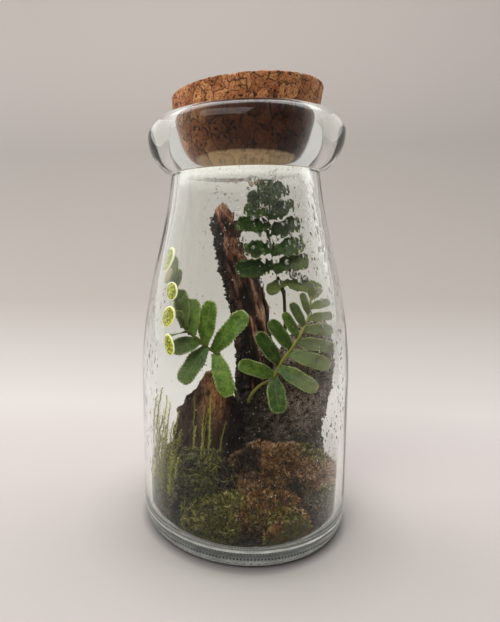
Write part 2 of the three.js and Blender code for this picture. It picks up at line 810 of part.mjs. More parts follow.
// What the tall stems lean over, kept free of the cushion behind them
const tuftRoom = { x: -25, y: -15.5, radiusX: 6, radiusY: 8.3, crest: 62 };

const barkStems = [
  { base: [-16.6, -14.6, 24], tip: [-16, -13.2, 47], lean: 0.4 },
  { base: [-13.4, -15.2, 24], tip: [-12.4, -13.6, 44], lean: -0.5 },
  { base: [-11.4, -15, 24], tip: [-10.6, -13.6, 48.5], lean: 0.5 },
  { base: [-7.6, -14.6, 23], tip: [-5.6, -13, 38.5], lean: -0.4 },
];

function tuftBody() {
  const pad = cutBack(cushionBody(wallTuft.pad), [raisedSoil], jarSpace);
  return joined([pad, ...wallTuft.stems.map(mossStem)]);
}

// Assembly, in the order in which later pieces are trimmed to earlier ones
const terrarium = new THREE.Group();

function place(name, geometry, material) {
  const mesh = new THREE.Mesh(geometry, material);
  mesh.name = name;
  terrarium.add(mesh);
}

const stick = driftwood();
const stickRoom = driftwood(gap);
const bark = cutBack(barkChunk(), [raisedSoil, stickRoom], jarSpace);
const barkRoom = barkChunk(gap);
const bed = cutBack(soilBed(), [stickRoom], jarSpace);
const fronds = [rightFrond, leftFrond, backFrond];
const buriedStalk = 0.25; // how far along the stalk its hole in the root mass follows it
const stalkRooms = fronds.map((frond) => stalkBody(frond, gap, buriedStalk));
const rootBall = loft(lumpRings(rootKeys, rootForm));
const roots = cutBack(rootBall, [raisedSoil, stickRoom, barkRoom, ...stalkRooms], jarSpace);
const rootRoom = loft(lumpRings(rootKeys, rootRoomForm, rootClearance));

place('glass_jar', glassJar(), glassFinish);
place('cork_stopper', corkStopper(), corkFinish);
place('soil_bed', bed, soilFinish);
place('driftwood_tall', stick, woodFinish);
place('bark_chunk', bark, barkFinish);
place('root_mass', roots, peatFinish);
place('fern_frond_right', fernFrond(rightFrond), fernFinish);
place('fern_frond_left', fernFrond(leftFrond), fernFinish);
place('fern_frond_back', fernFrond(backFrond), darkFernFinish);
place('feather_moss_wall', tuftBody(), sprigFinish);

const solidNeighbours = [raisedSoil, stickRoom, barkRoom, rootRoom, cushionBody(wallTuft.pad, gap)];

function mossCushion(key, before, extras = []) {
  const cutters = [...solidNeighbours, ...before.map((name) => cushionBody(cushions[name], gap))];
  if (key === 'left') cutters.push(cushionBody(tuftRoom, gap));
  const trimmed = cutBack(cushionBody(cushions[key]), cutters, jarSpace);
  return extras.length > 0 ? joined([trimmed, ...extras]) : trimmed;
}

place('moss_front_green', mossCushion('frontGreen', []), greenMossFinish);
place('moss_front_rust', mossCushion('frontRust', ['frontGreen']), rustMossFinish);
place('moss_front_right', mossCushion('frontRight', ['frontGreen', 'frontRust']), greenMossFinish);
place('moss_right', mossCushion('right', ['frontRust', 'frontRight']), greyMossFinish);
const beforeMound = ['frontGreen', 'frontRust', 'frontRight', 'right'];
place('moss_mound', mossCushion('mound', beforeMound), brownMossFinish);
place('moss_left', mossCushion('left', ['frontGreen', 'mound'], barkStems.map(mossStem)), greenMossFinish);
place('moss_back', mossCushion('back', ['mound', 'left']), greenMossFinish);

export default terrarium;
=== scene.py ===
import math

import bmesh
import bpy
import numpy as np
from mathutils import Matrix, Vector, noise


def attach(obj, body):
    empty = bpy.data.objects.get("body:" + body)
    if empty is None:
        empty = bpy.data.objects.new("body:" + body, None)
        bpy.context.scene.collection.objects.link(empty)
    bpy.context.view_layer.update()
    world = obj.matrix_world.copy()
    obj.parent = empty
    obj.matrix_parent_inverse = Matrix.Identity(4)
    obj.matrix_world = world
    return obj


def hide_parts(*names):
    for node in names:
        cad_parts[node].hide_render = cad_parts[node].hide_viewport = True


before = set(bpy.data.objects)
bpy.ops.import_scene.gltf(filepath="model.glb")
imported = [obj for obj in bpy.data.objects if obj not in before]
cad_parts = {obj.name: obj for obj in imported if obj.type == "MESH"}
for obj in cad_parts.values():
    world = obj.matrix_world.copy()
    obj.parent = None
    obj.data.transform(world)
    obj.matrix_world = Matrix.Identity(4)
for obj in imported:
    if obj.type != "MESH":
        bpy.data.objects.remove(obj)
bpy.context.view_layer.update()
mm = 0.001

# colours and nodes


def linear(code):
    values = [int(code[i : i + 2], 16) / 255 for i in (1, 3, 5)]
    flat = [v / 12.92 if v <= 0.04045 else ((v + 0.055) / 1.055) ** 2.4 for v in values]
    return (*flat, 1.0)


def nodeAdder(tree):
    def add(kind, inputs=(), out=0, stops=(), **settings):
        # inputs go by place or by name and are sockets, numbers or hex codes; stops fill a colour ramp
        node = tree.nodes.new("ShaderNode" + kind)
        for key, value in settings.items():
            setattr(node, key, value)
        for key, value in inputs.items() if isinstance(inputs, dict) else enumerate(inputs):
            if isinstance(value, bpy.types.NodeSocket):
                tree.links.new(value, node.inputs[key])
            else:
                node.inputs[key].default_value = linear(value) if isinstance(value, str) else value
        if stops:
            marks = node.color_ramp.elements
            marks[0].position, marks[1].position = stops[0][0], stops[-1][0]
            for position, _code in stops[1:-1]:
                marks.new(position)
            for mark, (_position, code) in zip(marks, stops):
                mark.color = linear(code)
        return node.outputs[out] if len(node.outputs) else node
    return add


def newMaterial(name):
    # the material, the function that adds its nodes, and the point being shaded
    material = bpy.data.materials.new(name)
    material.use_nodes = True
    material.node_tree.nodes.clear()
    add = nodeAdder(material.node_tree)
    return material, add, add("TexCoord", out="Object")


def painted(add, colour, *coats):
    # lays each coat's colour over what is under it, by the coat's share
    for share, over in coats:
        colour = add("Mix", {0: share, 6: colour, 7: over}, 2, data_type="RGBA")
    return colour


def weighted(add, *parts):
    # the sum of patterns, each times its weight
    total = 0.0
    for value, weight in parts:
        total = add("Math", (value, weight, total), operation="MULTIPLY_ADD")
    return total


# a noise takes the point, nothing, its features in a metre, detail and roughness
# a map range takes the value, what it runs from and to, and what these become

# meshes, built in millimetres


def makeObject(name, points, faces, edges=()):
    mesh = bpy.data.meshes.new(name)
    mesh.from_pydata((np.asarray(points, float) * mm).tolist(), edges, [list(f) for f in faces])
    mesh.validate()
    mesh.update()
    mesh.shade_smooth()
    obj = bpy.data.objects.new(name, mesh)
    bpy.context.scene.collection.objects.link(obj)
    return obj


def selectOnly(obj):
    for other in bpy.context.selected_objects:
        other.select_set(False)
    obj.select_set(True)
    bpy.context.view_layer.objects.active = obj


def applyModifier(obj, kind, **settings):
    selectOnly(obj)
    modifier = obj.modifiers.new(kind.lower(), kind)
    for key, value in settings.items():
        setattr(modifier, key, value)
    bpy.ops.object.modifier_apply(modifier=modifier.name)


def faceOutward(obj):
    # consistent faces, turned over if the volume that they close comes out negative
    selectOnly(obj)
    bpy.ops.object.mode_set(mode="EDIT")
    bpy.ops.mesh.select_all(action="SELECT")
    bpy.ops.mesh.remove_doubles(threshold=0.000005)
    bpy.ops.mesh.normals_make_consistent(inside=False)
    bpy.ops.object.mode_set(mode="OBJECT")
    shape = bmesh.new()
    shape.from_mesh(obj.data)
    if shape.calc_volume(signed=True) < 0:
        bmesh.ops.reverse_faces(shape, faces=shape.faces)
        shape.to_mesh(obj.data)
    shape.free()
    obj.data.shade_smooth()


def setAttribute(obj, name, values, kind="FLOAT"):
    data = obj.data.attributes.new(name, kind, "POINT").data
    key = "value" if kind == "FLOAT" else "vector"
    data.foreach_set(key, np.asarray(values, np.float32).ravel())


def surfaceOf(obj):
    # the points in mm and the normals at them
    points, normals = np.empty((2, len(obj.data.vertices) * 3), np.float32)
    obj.data.vertices.foreach_get("co", points)
    obj.data.vertex_normals.foreach_get("vector", normals)
    return points.reshape(-1, 3).astype(float) / mm, normals.reshape(-1, 3).astype(float)


def facesOf(obj):
    return [tuple(face.vertices) for face in obj.data.polygons]


def setPoints(obj, points):
    obj.data.vertices.foreach_set("co", (points * mm).astype(np.float32).ravel())
    obj.data.update()


def rough(points, size, seed=0.0):
    # fractal noise between about -1 and 1, with features `size` mm apart
    shift = Vector((seed, seed * 1.7, -seed))
    return np.array([noise.fractal(Vector(p) / size + shift, 1.0, 2.0, 4) for p in points])


def joinParts(name, parts):
    points, faces, count = [], [], 0
    for partPoints, partFaces in parts:
        points.append(np.asarray(partPoints, float))
        faces.extend([tuple(int(i) + count for i in f) for f in partFaces])
        count += len(partPoints)
    return makeObject(name, np.concatenate(points), faces)


def finishPiece(obj, material, slot, *nodes):
    obj.data.materials.clear()
    obj.data.materials.append(material)
    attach(obj, "root")
    if nodes:
        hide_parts(*nodes)
    print(obj.name, len(obj.data.polygons), "faces")


def ringFaces(rings, sides, loop=False):
    # the faces between rings of points, and from the last ring to the first in a loop
    faces = []
    for i in range(rings if loop else rings - 1):
        below, above = i * sides, (i + 1) % rings * sides
        for k in range(sides):
            beside = (k + 1) % sides
            faces.append((below + k, below + beside, above + beside, above + k))
    return faces


def closedRings(rings, sides):
    ends = [tuple(range(sides))[::-1], tuple(range((rings - 1) * sides, rings * sides))]
    return ringFaces(rings, sides) + ends


def alongCurve(points, t):
    # the same curve through points as in the CAD model, at 0 to 1 of them
    points = [np.asarray(p, float) for p in points]
    last = len(points) - 1
    place = min(max(t, 0.0), 1.0) * last
    index = min(int(place), last - 1)
    u = place - index
    b, c = points[index], points[index + 1]
    a = points[index - 1] if index > 0 else 2 * b - c
    d = points[index + 2] if index < last - 1 else 2 * c - b
    ab, bc, cd = [max(np.linalg.norm(q - p) ** 0.5, 1e-4) for p, q in ((a, b), (b, c), (c, d))]
    leave = ((b - a) / ab - (c - a) / (ab + bc) + (c - b) / bc) * bc
    arrive = ((c - b) / bc - (d - b) / (bc + cd) + (d - c) / cd) * bc
    v = u * u
    w = v * u
    return (2 * w - 3 * v + 1) * b + (w - 2 * v + u) * leave + (3 * v - 2 * w) * c + (w - v) * arrive


def tube(path, radii, sides=5):
    path = [np.asarray(p, float) for p in path]
    points = []
    for i, middle in enumerate(path):
        ahead = path[min(i + 1, len(path) - 1)] - path[max(i - 1, 0)]
        ahead = ahead / max(np.linalg.norm(ahead), 1e-9)
        side = np.cross((0.2, 0.97, 0.1), ahead)
        side = side / max(np.linalg.norm(side), 1e-9)
        over = np.cross(ahead, side)
        for k in range(sides):
            turn = 2 * math.pi * k / sides
            points.append(middle + radii[i] * (math.cos(turn) * side + math.sin(turn) * over))
    return points, closedRings(len(path), sides)


# jar: clear pressed glass, turned from one outline

jar = {
    "bodyRadius": 36, "footRadius": 30.5, "cornerHeight": 10.8, "cornerRoundness": 3.07,
    "shoulderStart": 50.8, "neckHeight": 120.6, "neckRadius": 24.8, "shoulderPull": 1.25,
    "neckSlope": 0.107, "wall": 2.6, "neckWall": 3.1, "floor": 3.2, "floorRadius": 28.5,
    "innerCornerHeight": 7.5, "innerCornerRoundness": 2.3, "puntRadius": 26.5, "puntDepth": 0.7,
    "sides": 168,
}
lip = {"radius": 32.5, "middle": 132.6, "rise": 6.7, "drop": 11.8, "squareness": 0.88, "taper": 1.1,
       "crown": 1.4}
cork = {
    "bottom": 127, "waist": 140.5, "top": 146.8, "bottomRadius": 20.4, "waistRadius": 24.1,
    "topRadius": 24.9, "topTilt": 0.04, "topShift": 0.4, "seatTop": 138.2, "seatBottom": 132.8,
    "gap": 0.3, "edge": 0.4, "sides": 150,
}


def corner(startRadius, endRadius, startHeight, rise, roundness, steps):
    line = []
    for i in range(steps + 1):
        t = i / steps * math.pi / 2
        out = math.sin(t) ** (2 / roundness)
        up = 1 - max(math.cos(t), 0) ** (2 / roundness)
        line.append((startRadius + (endRadius - startRadius) * out, startHeight + rise * up))
    return line


def shoulderPoint(t):
    span = jar["neckHeight"] - jar["shoulderStart"]
    start = 2 * t**3 - 3 * t**2 + 1
    leave = t**3 - 2 * t**2 + t
    end = 3 * t**2 - 2 * t**3
    arrive = t**3 - t**2
    radius = start * jar["bodyRadius"] + end * jar["neckRadius"] - arrive * jar["neckSlope"] * span
    rise = (leave * jar["shoulderPull"] + arrive) * span
    return radius, start * jar["shoulderStart"] + end * jar["neckHeight"] + rise


def insideLine(steps=30):
    wallFrom = jar["bodyRadius"] - jar["wall"]
    line = corner(jar["floorRadius"], wallFrom, jar["floor"], jar["innerCornerHeight"],
                  jar["innerCornerRoundness"], 12)
    for i in range(steps + 1):
        radius, height = shoulderPoint(i / steps)
        wall = jar["wall"] + (jar["neckWall"] - jar["wall"]) * i / steps
        line.append((radius - wall, height))
    return line


innerLine = insideLine()
innerHeights = [h for r, h in innerLine]
innerRadii = [r for r, h in innerLine]


def innerRadius(height):
    return np.interp(height, innerHeights, innerRadii)


def corkRadius(height):
    return np.interp(height, (cork["bottom"], cork["waist"], cork["top"]),
                     (cork["bottomRadius"], cork["waistRadius"], cork["topRadius"]))


def jarProfile():
    outside = corner(jar["footRadius"], jar["bodyRadius"], 0, jar["cornerHeight"],
                     jar["cornerRoundness"], 14)
    outside += [shoulderPoint(i / 30) for i in range(1, 31)]
    inner = jar["neckRadius"] - 1
    roll = []
    for i in range(1, 30):
        t = -math.pi / 2 + i / 30 * math.pi
        power = lip["squareness"] if t > 0 else lip["taper"]
        out = math.cos(t) ** power
        up = math.copysign(abs(math.sin(t)) ** power, t)
        reach = inner + (lip["radius"] - inner) * out
        roll.append((reach, lip["middle"] + up * (lip["rise"] if t > 0 else lip["drop"])))
    top, seat = [corkRadius(cork[key]) + cork["gap"] for key in ("seatTop", "seatBottom")]
    mouth = [
        (top + lip["crown"], lip["middle"] + lip["rise"]),
        (top + lip["crown"] / 2, lip["middle"] + lip["rise"] - 0.12),
        (top + lip["crown"] / 5, lip["middle"] + lip["rise"] - 0.45),
        (top, cork["seatTop"]),
        (seat, cork["seatBottom"]),
        (jar["neckRadius"] - jar["neckWall"] + 0.1, (jar["neckHeight"] + cork["seatBottom"]) / 2),
    ]
    foot = [(0, jar["puntDepth"] + 0.4), (jar["puntRadius"] - 2, jar["puntDepth"]),
            (jar["puntRadius"] - 0.9, jar["puntDepth"] * 0.75), (jar["puntRadius"], 0.08),
            (jar["puntRadius"] + 0.7, 0)]
    root = [(jar["neckRadius"], lip["middle"] - lip["drop"])]
    return foot + outside + root + roll + mouth + innerLine[::-1] + [(0, jar["floor"])]


def clearGlass(name, tint, ior, mirror="#ffffff", waves=None, foot=None):
    # lamps and floor light pass straight through it; rays of the eye are bent and mirrored
    material, add, where = newMaterial(name)
    look = {"Base Color": tint, "Roughness": 0, "IOR": ior, "Transmission Weight": 1}
    look["Specular Tint"] = mirror
    if waves:
        look["Normal"] = waves(add, where)
    surface, shade = add("BsdfPrincipled", look), tint
    if foot:
        surface, shade = foot(add, where, surface, tint)
    ray = add("LightPath").node.outputs
    straight = add("Math", (ray["Is Shadow Ray"], ray["Is Diffuse Ray"]), operation="MAXIMUM")
    add("OutputMaterial", (add("MixShader", (straight, surface, add("BsdfTransparent", (shade,)))),))
    return material


# heights, widths and depths in mm
glassLook = {
    "tint": "#fafcfa", "ior": 1.42, "mirror": "#8a8a8a", "dashes": 210, "dashHeight": 4.0, "frostTop": 0.9,
    "shadeTop": 13, "dots": 96, "dotHeight": 2.3, "wave": 14, "wetMiddle": (11, -25, 103), "wetReach": 21,
    "film": 2.4,
}

def thickFoot(add, where, surface, tint):
    # the ring that the jar stands on is frosted, and a painted glow in it stands for the light caught in the
    # thick base;
    # short dark dashes are stippled round it, and it holds back some of the light on the table
    x, y, z = add("SeparateXYZ", (where,)).node.outputs
    turn = add("Math", (y, x), operation="ARCTAN2")
    turns = add("Math", (turn, glassLook["dashes"]), operation="MULTIPLY")
    dash = add("Math", (add("Math", (turns,), operation="SINE"), -0.2), operation="GREATER_THAN")
    away = add("Math", (z, glassLook["dashHeight"] * mm), operation="SUBTRACT")
    away = add("Math", (away,), operation="ABSOLUTE")
    ring = add("MapRange", (away, 0.25 * mm, 0.5 * mm, 0.85, 0))
    dark = add("BsdfPrincipled", {"Base Color": "#23261f", "Roughness": 0.5})
    uneven = add("TexNoise", (where, 0, 1 / (6 * mm), 2, 0.6))
    tone = add("ValToRGB", (uneven,), stops=[(0.36, "#b8bcb2"), (0.5, "#cdcfc6"), (0.62, "#e2e2da")])
    # painted light: the frost glows with its own pale colour
    pale = add("BsdfPrincipled", {"Base Color": tone, "Roughness": 0.4, "Emission Color": tone,
                                  "Emission Strength": 0.34})
    frost = add("MapRange", (z, 0.3 * mm, glassLook["frostTop"] * mm, 0.9, 0))
    surface = add("MixShader", (frost, surface, pale))
    surface = add("MixShader", (add("Math", (dash, ring), operation="MULTIPLY"), surface, dark))
    near = add("MapRange", (z, 3 * mm, glassLook["shadeTop"] * mm, 0.92, 0))
    return surface, painted(add, tint, (near, "#2a2825"))


def jarWaves(add, where):
    # pressed glass: slow waves, a dotted grip ring just above the foot, and a film of water run
    # together on the wall in front of the back frond
    tall = add("Mapping", {"Vector": where, "Scale": (1, 1, 0.35)})
    slow = add("TexNoise", (tall, 0, 1 / (glassLook["wave"] * mm), 1, 0.6))
    x, y, z = add("SeparateXYZ", (where,)).node.outputs
    turn = add("Math", (y, x), operation="ARCTAN2")
    turns = add("Math", (turn, glassLook["dots"]), operation="MULTIPLY")
    away = add("Math", (z, glassLook["dotHeight"] * mm), operation="SUBTRACT")
    near = add("MapRange", (add("Math", (away,), operation="ABSOLUTE"), 0, 0.7 * mm, 1, 0))
    bumps = add("Math", (add("Math", (turns,), operation="SINE"), 0), operation="MAXIMUM")
    dots = add("Math", (near, bumps), operation="MULTIPLY")
    middle = tuple(v * mm for v in glassLook["wetMiddle"])
    reach = add("VectorMath", (where, middle), "Value", operation="DISTANCE")
    wetHere = add("MapRange", (reach, 12 * mm, glassLook["wetReach"] * mm, 1, 0))
    runs = add("Mapping", {"Vector": where, "Scale": (1, 1, 0.7)})
    runs = add("TexNoise", (runs, 0, 1 / (glassLook["film"] * mm), 1.5, 0.6))
    film = add("Math", (wetHere, runs), operation="MULTIPLY")
    first = add("Bump", {"Strength": 0.5, "Distance": 0.5 * mm, "Height": slow})
    second = add("Bump", {"Strength": 1, "Distance": 0.33 * mm, "Height": film, "Normal": first})
    return add("Bump", {"Strength": 1, "Distance": 0.12 * mm, "Height": dots, "Normal": second})


profile = jarProfile()
glassJar = makeObject("glassJar", [(r, 0, h) for r, h in profile], [],
                      [(i, i + 1) for i in range(len(profile) - 1)])
applyModifier(glassJar, "SCREW", steps=jar["sides"], render_steps=jar["sides"],
              use_merge_vertices=True, merge_threshold=0.00001, use_smooth_shade=True)
faceOutward(glassJar)
jarGlass = clearGlass("jarGlass", glassLook["tint"], glassLook["ior"], glassLook["mirror"],
                      jarWaves, thickFoot)
finishPiece(glassJar, jarGlass, "glass", "glass_jar")

# cork stopper


def corkMesh():
    rings = []
    flat = [1 - i / 24 for i in range(24)]
    for part in flat[::-1]:
        rings.append((part * (cork["bottomRadius"] - cork["edge"]), cork["bottom"]))
    for i in range(27):
        height = cork["bottom"] + 0.3 + (cork["top"] - cork["bottom"] - 0.6) * i / 26
        rings.append((corkRadius(height), height))
    for part in flat:
        rings.append((part * (cork["topRadius"] - cork["edge"]), cork["top"]))
    points = []
    for radius, height in rings:
        free = min(max((height - cork["waist"]) / (cork["top"] - cork["waist"]), 0), 1)
        free = free * free * (3 - 2 * free)
        for side in range(cork["sides"]):
            turn = 2 * math.pi * side / cork["sides"]
            x = radius * math.cos(turn) + free * cork["topShift"]
            points.append((x, radius * math.sin(turn), height + free * cork["topTilt"] * x))
    return points, closedRings(len(rings), cork["sides"])


corkStopper = makeObject("corkStopper", *corkMesh())
points, normals = surfaceOf(corkStopper)
pits = np.clip(rough(points, 2.6, 3.0) - 0.25, 0, 1) * 1.1
pits += np.clip(rough(points, 0.9, 8.0) - 0.2, 0, 1) * 0.5
carved = points - normals * pits[:, None]
carved[:, 2] = np.minimum(carved[:, 2], cork["top"] + cork["topTilt"] * cork["topRadius"] - 0.02)
setPoints(corkStopper, carved)

corkLook = {
    "granule": 3.9, "swirl": 1.7, "fleck": 1.0, "crack": "#26130a", "neckShade": "#5c403a", "pale": "#f0d6ae",
    "tones": [(0.3, "#62341a"), (0.45, "#985a33"), (0.55, "#b57344"), (0.68, "#d09862"), (0.85, "#eec496")],
}


def corkGranules():
    # agglomerated cork: granules a few mm across, swirled inside and parted by dark cracks
    material, add, where = newMaterial("corkGranules")
    drift = add("TexNoise", {"Vector": where, "Scale": 1 / (4 * mm), "Detail": 2}, 1)
    shift = add("VectorMath", (drift, (4 * mm, 4 * mm, 4 * mm)), operation="MULTIPLY")
    warp = add("VectorMath", (where, shift), operation="ADD")
    cell = {"Vector": warp, "Scale": 1 / (corkLook["granule"] * mm), "Randomness": 1}
    own = add("SeparateColor", (add("TexVoronoi", cell, "Color"),))
    edge = add("TexVoronoi", cell, "Distance", feature="DISTANCE_TO_EDGE")
    swirl = {"Vector": warp, "Scale": 1 / (corkLook["swirl"] * mm), "Detail": 6, "Roughness": 0.65}
    swirl = add("TexNoise", {**swirl, "Distortion": 3.2})
    base = add("ValToRGB", (weighted(add, (own, 0.2), (swirl, 0.85)),), stops=corkLook["tones"])
    broken = add("TexNoise", (where, 0, 1 / (2 * mm), 3, 0.6))
    reach = add("MapRange", (broken, 0.38, 0.62, 0, 0.075))
    crack = add("MapRange", (edge, 0, reach, 0.1, 1))
    specks = add("TexNoise", (where, 0, 1 / (corkLook["fleck"] * mm), 3, 0.6))
    sound = add("Math", (crack, add("MapRange", (specks, 0.35, 0.4, 0.1, 1))), operation="MULTIPLY")
    # painted shade darkens it where it is pressed into the mouth, less on the left, and painted light makes
    # it pale on the underside
    x, y, z = add("SeparateXYZ", (where,)).node.outputs
    pressed = add("MapRange", (z, 138 * mm, 139.4 * mm, 1, 0))
    under = add("MapRange", (z, (cork["bottom"] + 0.35) * mm, (cork["bottom"] + 0.9) * mm, 1, 0))
    left = add("MapRange", (x, -20 * mm, -7 * mm, 0.1, 0.95))
    dry = painted(add, corkLook["crack"], (sound, base))
    # painted shade: the cork is multiplied darker inside the mouth
    neckShade = add("Mix", {0: 1, 6: dry, 7: corkLook["neckShade"]}, 2, data_type="RGBA", blend_type="MULTIPLY")
    # painted light: the underside is made paler as if lit from below
    pale = painted(add, dry, (0.55, corkLook["pale"]))
    colour = painted(add, dry, (add("Math", (pressed, left), operation="MULTIPLY"), neckShade), (under, pale))
    height = weighted(add, (sound, 0.7), (swirl, 0.5))
    bump = add("Bump", {"Strength": 0.9, "Distance": 0.5 * mm, "Height": height})
    add("OutputMaterial", (add("BsdfPrincipled", {"Base Color": colour, "Roughness": 0.78,
                                                  "Specular IOR Level": 0.35, "Normal": bump}),))
    return material


finishPiece(corkStopper, corkGranules(), "cork", "cork_stopper")

# finer copies of the CAD solids

# the contents draw in towards the floor and leave a rounded gap in the thick foot
bowl = {"top": 15, "gap": 1.1, "bend": 1.2}


def finer(name, node, voxel, smoothing=2):
    obj = bpy.data.objects.new(name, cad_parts[node].data.copy())
    bpy.context.scene.collection.objects.link(obj)
    applyModifier(obj, "REMESH", mode="VOXEL", voxel_size=voxel * mm)
    applyModifier(obj, "SMOOTH", factor=0.5, iterations=smoothing)
    obj.data.shade_smooth()
    return obj


def keepInside(points, margin=0.25):
    reach = np.hypot(points[:, 0], points[:, 1])
    low = np.clip((bowl["top"] - points[:, 2]) / (bowl["top"] - jar["floor"]), 0, 1)
    limit = innerRadius(points[:, 2]) - margin - bowl["gap"] * low ** bowl["bend"]
    scale = np.where(reach > limit, limit / np.maximum(reach, 1e-6), 1.0)
    points[:, :2] *= scale[:, None]
    points[:, 2] = np.maximum(points[:, 2], jar["floor"] + 0.2)
    return points


def surfacePlaces(obj, count, seed):
    # random points on a mesh with their normals, spread evenly by area
    generator = np.random.default_rng(seed)
    obj.data.calc_loop_triangles()
    corners = np.empty(len(obj.data.loop_triangles) * 3, np.int32)
    obj.data.loop_triangles.foreach_get("vertices", corners)
    a, b, c = surfaceOf(obj)[0][corners.reshape(-1, 3).T]
    normal = np.cross(b - a, c - a)
    area = np.linalg.norm(normal, axis=1)
    chosen = generator.choice(len(area), count, p=area / area.sum())
    u, v = generator.random(count), generator.random(count)
    flip = u + v > 1
    u[flip], v[flip] = 1 - u[flip], 1 - v[flip]
    place = a[chosen] + (b - a)[chosen] * u[:, None] + (c - a)[chosen] * v[:, None]
    return place, normal[chosen] / area[chosen][:, None], generator


def crumbMesh(place, normal, generator, size):
    # loose crumbs: small uneven eight-sided bits half sunk in the surface
    count = len(place)
    corners = np.array([(1, 0, 0), (-1, 0, 0), (0, 1, 0), (0, -1, 0), (0, 0, 1), (0, 0, -1)], float)
    scale = generator.uniform(size[0], size[1], (count, 1, 1)) * generator.uniform(0.55, 1.2, (count, 6, 1))
    first = generator.normal(0, 1, (count, 3))
    second = np.cross(first, generator.normal(0, 1, (count, 3)))
    first /= np.linalg.norm(first, axis=1)[:, None]
    second /= np.linalg.norm(second, axis=1)[:, None]
    axes = np.stack([first, second, np.cross(first, second)], axis=1)
    points = np.einsum("kc,ncd->nkd", corners, axes) * scale + (place + normal * size[0] * 0.3)[:, None, :]
    eight = np.array([(0, 2, 4), (2, 1, 4), (1, 3, 4), (3, 0, 4),
                      (2, 0, 5), (1, 2, 5), (3, 1, 5), (0, 3, 5)])
    faces = (np.arange(count)[:, None, None] * 6 + eight).reshape(-1, 3)
    return keepInside(points.reshape(-1, 3), 0.15), faces


def strandParts(obj, count, seed, radii=(0.08, 0.17), steps=14, stride=1.3, lift=0.12):
    # fine roots or shoots that creep over a surface
    place, normal, generator = surfacePlaces(obj, count, seed)
    parts = []
    for here, up in zip(place, normal):
        heading = np.cross(up, generator.normal(0, 1, 3))
        path = []
        for _ in range(steps):
            heading = heading / np.linalg.norm(heading) + generator.normal(0, 0.35, 3)
            here = here + heading / np.linalg.norm(heading) * stride
            _found, near, facing, _index = obj.closest_point_on_mesh(Vector(here) * mm)
            here = np.array(near) / mm + np.array(facing) * lift
            path.append(here)
        width = generator.uniform(*radii)
        points, faces = tube(path, [width * (1 - 0.6 * i / steps) for i in range(steps)], 4)
        parts.append((keepInside(np.array(points), 0.15), faces))
    return parts


def withLitter(obj, crumbs, strands, seed):
    # adds crumbs and fine roots to a finished surface; "litter" is 1 on crumbs and 2 on roots
    name = obj.name
    place, normal, generator = surfacePlaces(obj, crumbs, seed)
    parts = [(surfaceOf(obj)[0], facesOf(obj)), crumbMesh(place, normal, generator, (0.25, 0.65))]
    marks = [np.zeros(len(parts[0][0])), np.repeat(1 + 0.5 * generator.random(crumbs), 6)]
    for part in strandParts(obj, strands, seed + 1):
        parts.append(part)
        marks.append(np.full(len(part[0]), 2 + 0.5 * generator.random()))
    bpy.data.objects.remove(obj)
    joined = joinParts(name, parts)
    setAttribute(joined, "litter", np.concatenate(marks))
    return joined

def litterPatch(crumbTones, rootTones):
    def patch(add, where, colour, fine):
        mark = add("Attribute", out="Fac", attribute_name="litter")
        shade = add("MapRange", (add("Math", (mark,), operation="FRACT"), 0, 0.5, 0, 1))
        crumb = add("ValToRGB", (shade,), stops=crumbTones)
        root = add("ValToRGB", (shade,), stops=rootTones)
        return painted(add, colour, (add("Math", (mark, 0.9), operation="GREATER_THAN"), crumb),
                       (add("Math", (mark, 1.9), operation="GREATER_THAN"), root))
    return patch


def roughSurface(name, look, patch):
    # broken natural surfaces: a coarse and a fine noise mixed over a ramp of real colours
    material, add, where = newMaterial(name)
    streaky = add("Mapping", {"Vector": where, "Scale": (1, 1, look["stretch"])})
    coarse = add("TexNoise", (streaky, 0, 1 / (look["coarse"] * mm), 3, 0.6))
    fine = add("TexNoise", (streaky, 0, 1 / (look["fine"] * mm), 6, 0.7))
    colour = add("ValToRGB", (weighted(add, (coarse, 0.5), (fine, 0.5)),), stops=look["tones"])
    bump = add("Bump", {"Strength": 1, "Distance": look["bump"] * mm, "Height": fine})
    add("OutputMaterial", (add("BsdfPrincipled", {
        "Base Color": patch(add, where, colour, fine), "Roughness": look["roughness"],
        "Specular IOR Level": 0.3, "Normal": bump}),))
    return material


# soil: dark peat crumbs
soil = {
    "grid": 1.0, "crumbs": 1800, "hairs": 14, "coarse": 3.5, "fine": 0.6, "stretch": 1, "roughness": 0.75,
    "bump": 0.5, "tones": [(0.25, "#0f0c0a"), (0.5, "#231a14"), (0.7, "#3a2c22"), (0.85, "#55463a")],
    "crumbTones": [(0.0, "#0c0907"), (0.6, "#2e2219"), (0.9, "#5a4838"), (1.0, "#8a7862")],
    "hairTones": [(0.0, "#6a543c"), (1.0, "#a08868")],
}
soilBed = finer("soilBed", "soil_bed", soil["grid"])
points, normals = surfaceOf(soilBed)
lumps = 0.5 * rough(points, 3.2, 1.0) + 0.2 * rough(points, 1.1, 5.0)
setPoints(soilBed, keepInside(points + normals * lumps[:, None]))
soilBed = withLitter(soilBed, soil["crumbs"], soil["hairs"], 61)
soilLook = roughSurface("darkPeat", soil, litterPatch(soil["crumbTones"], soil["hairTones"]))
finishPiece(soilBed, soilLook, "soil", "soil_bed")

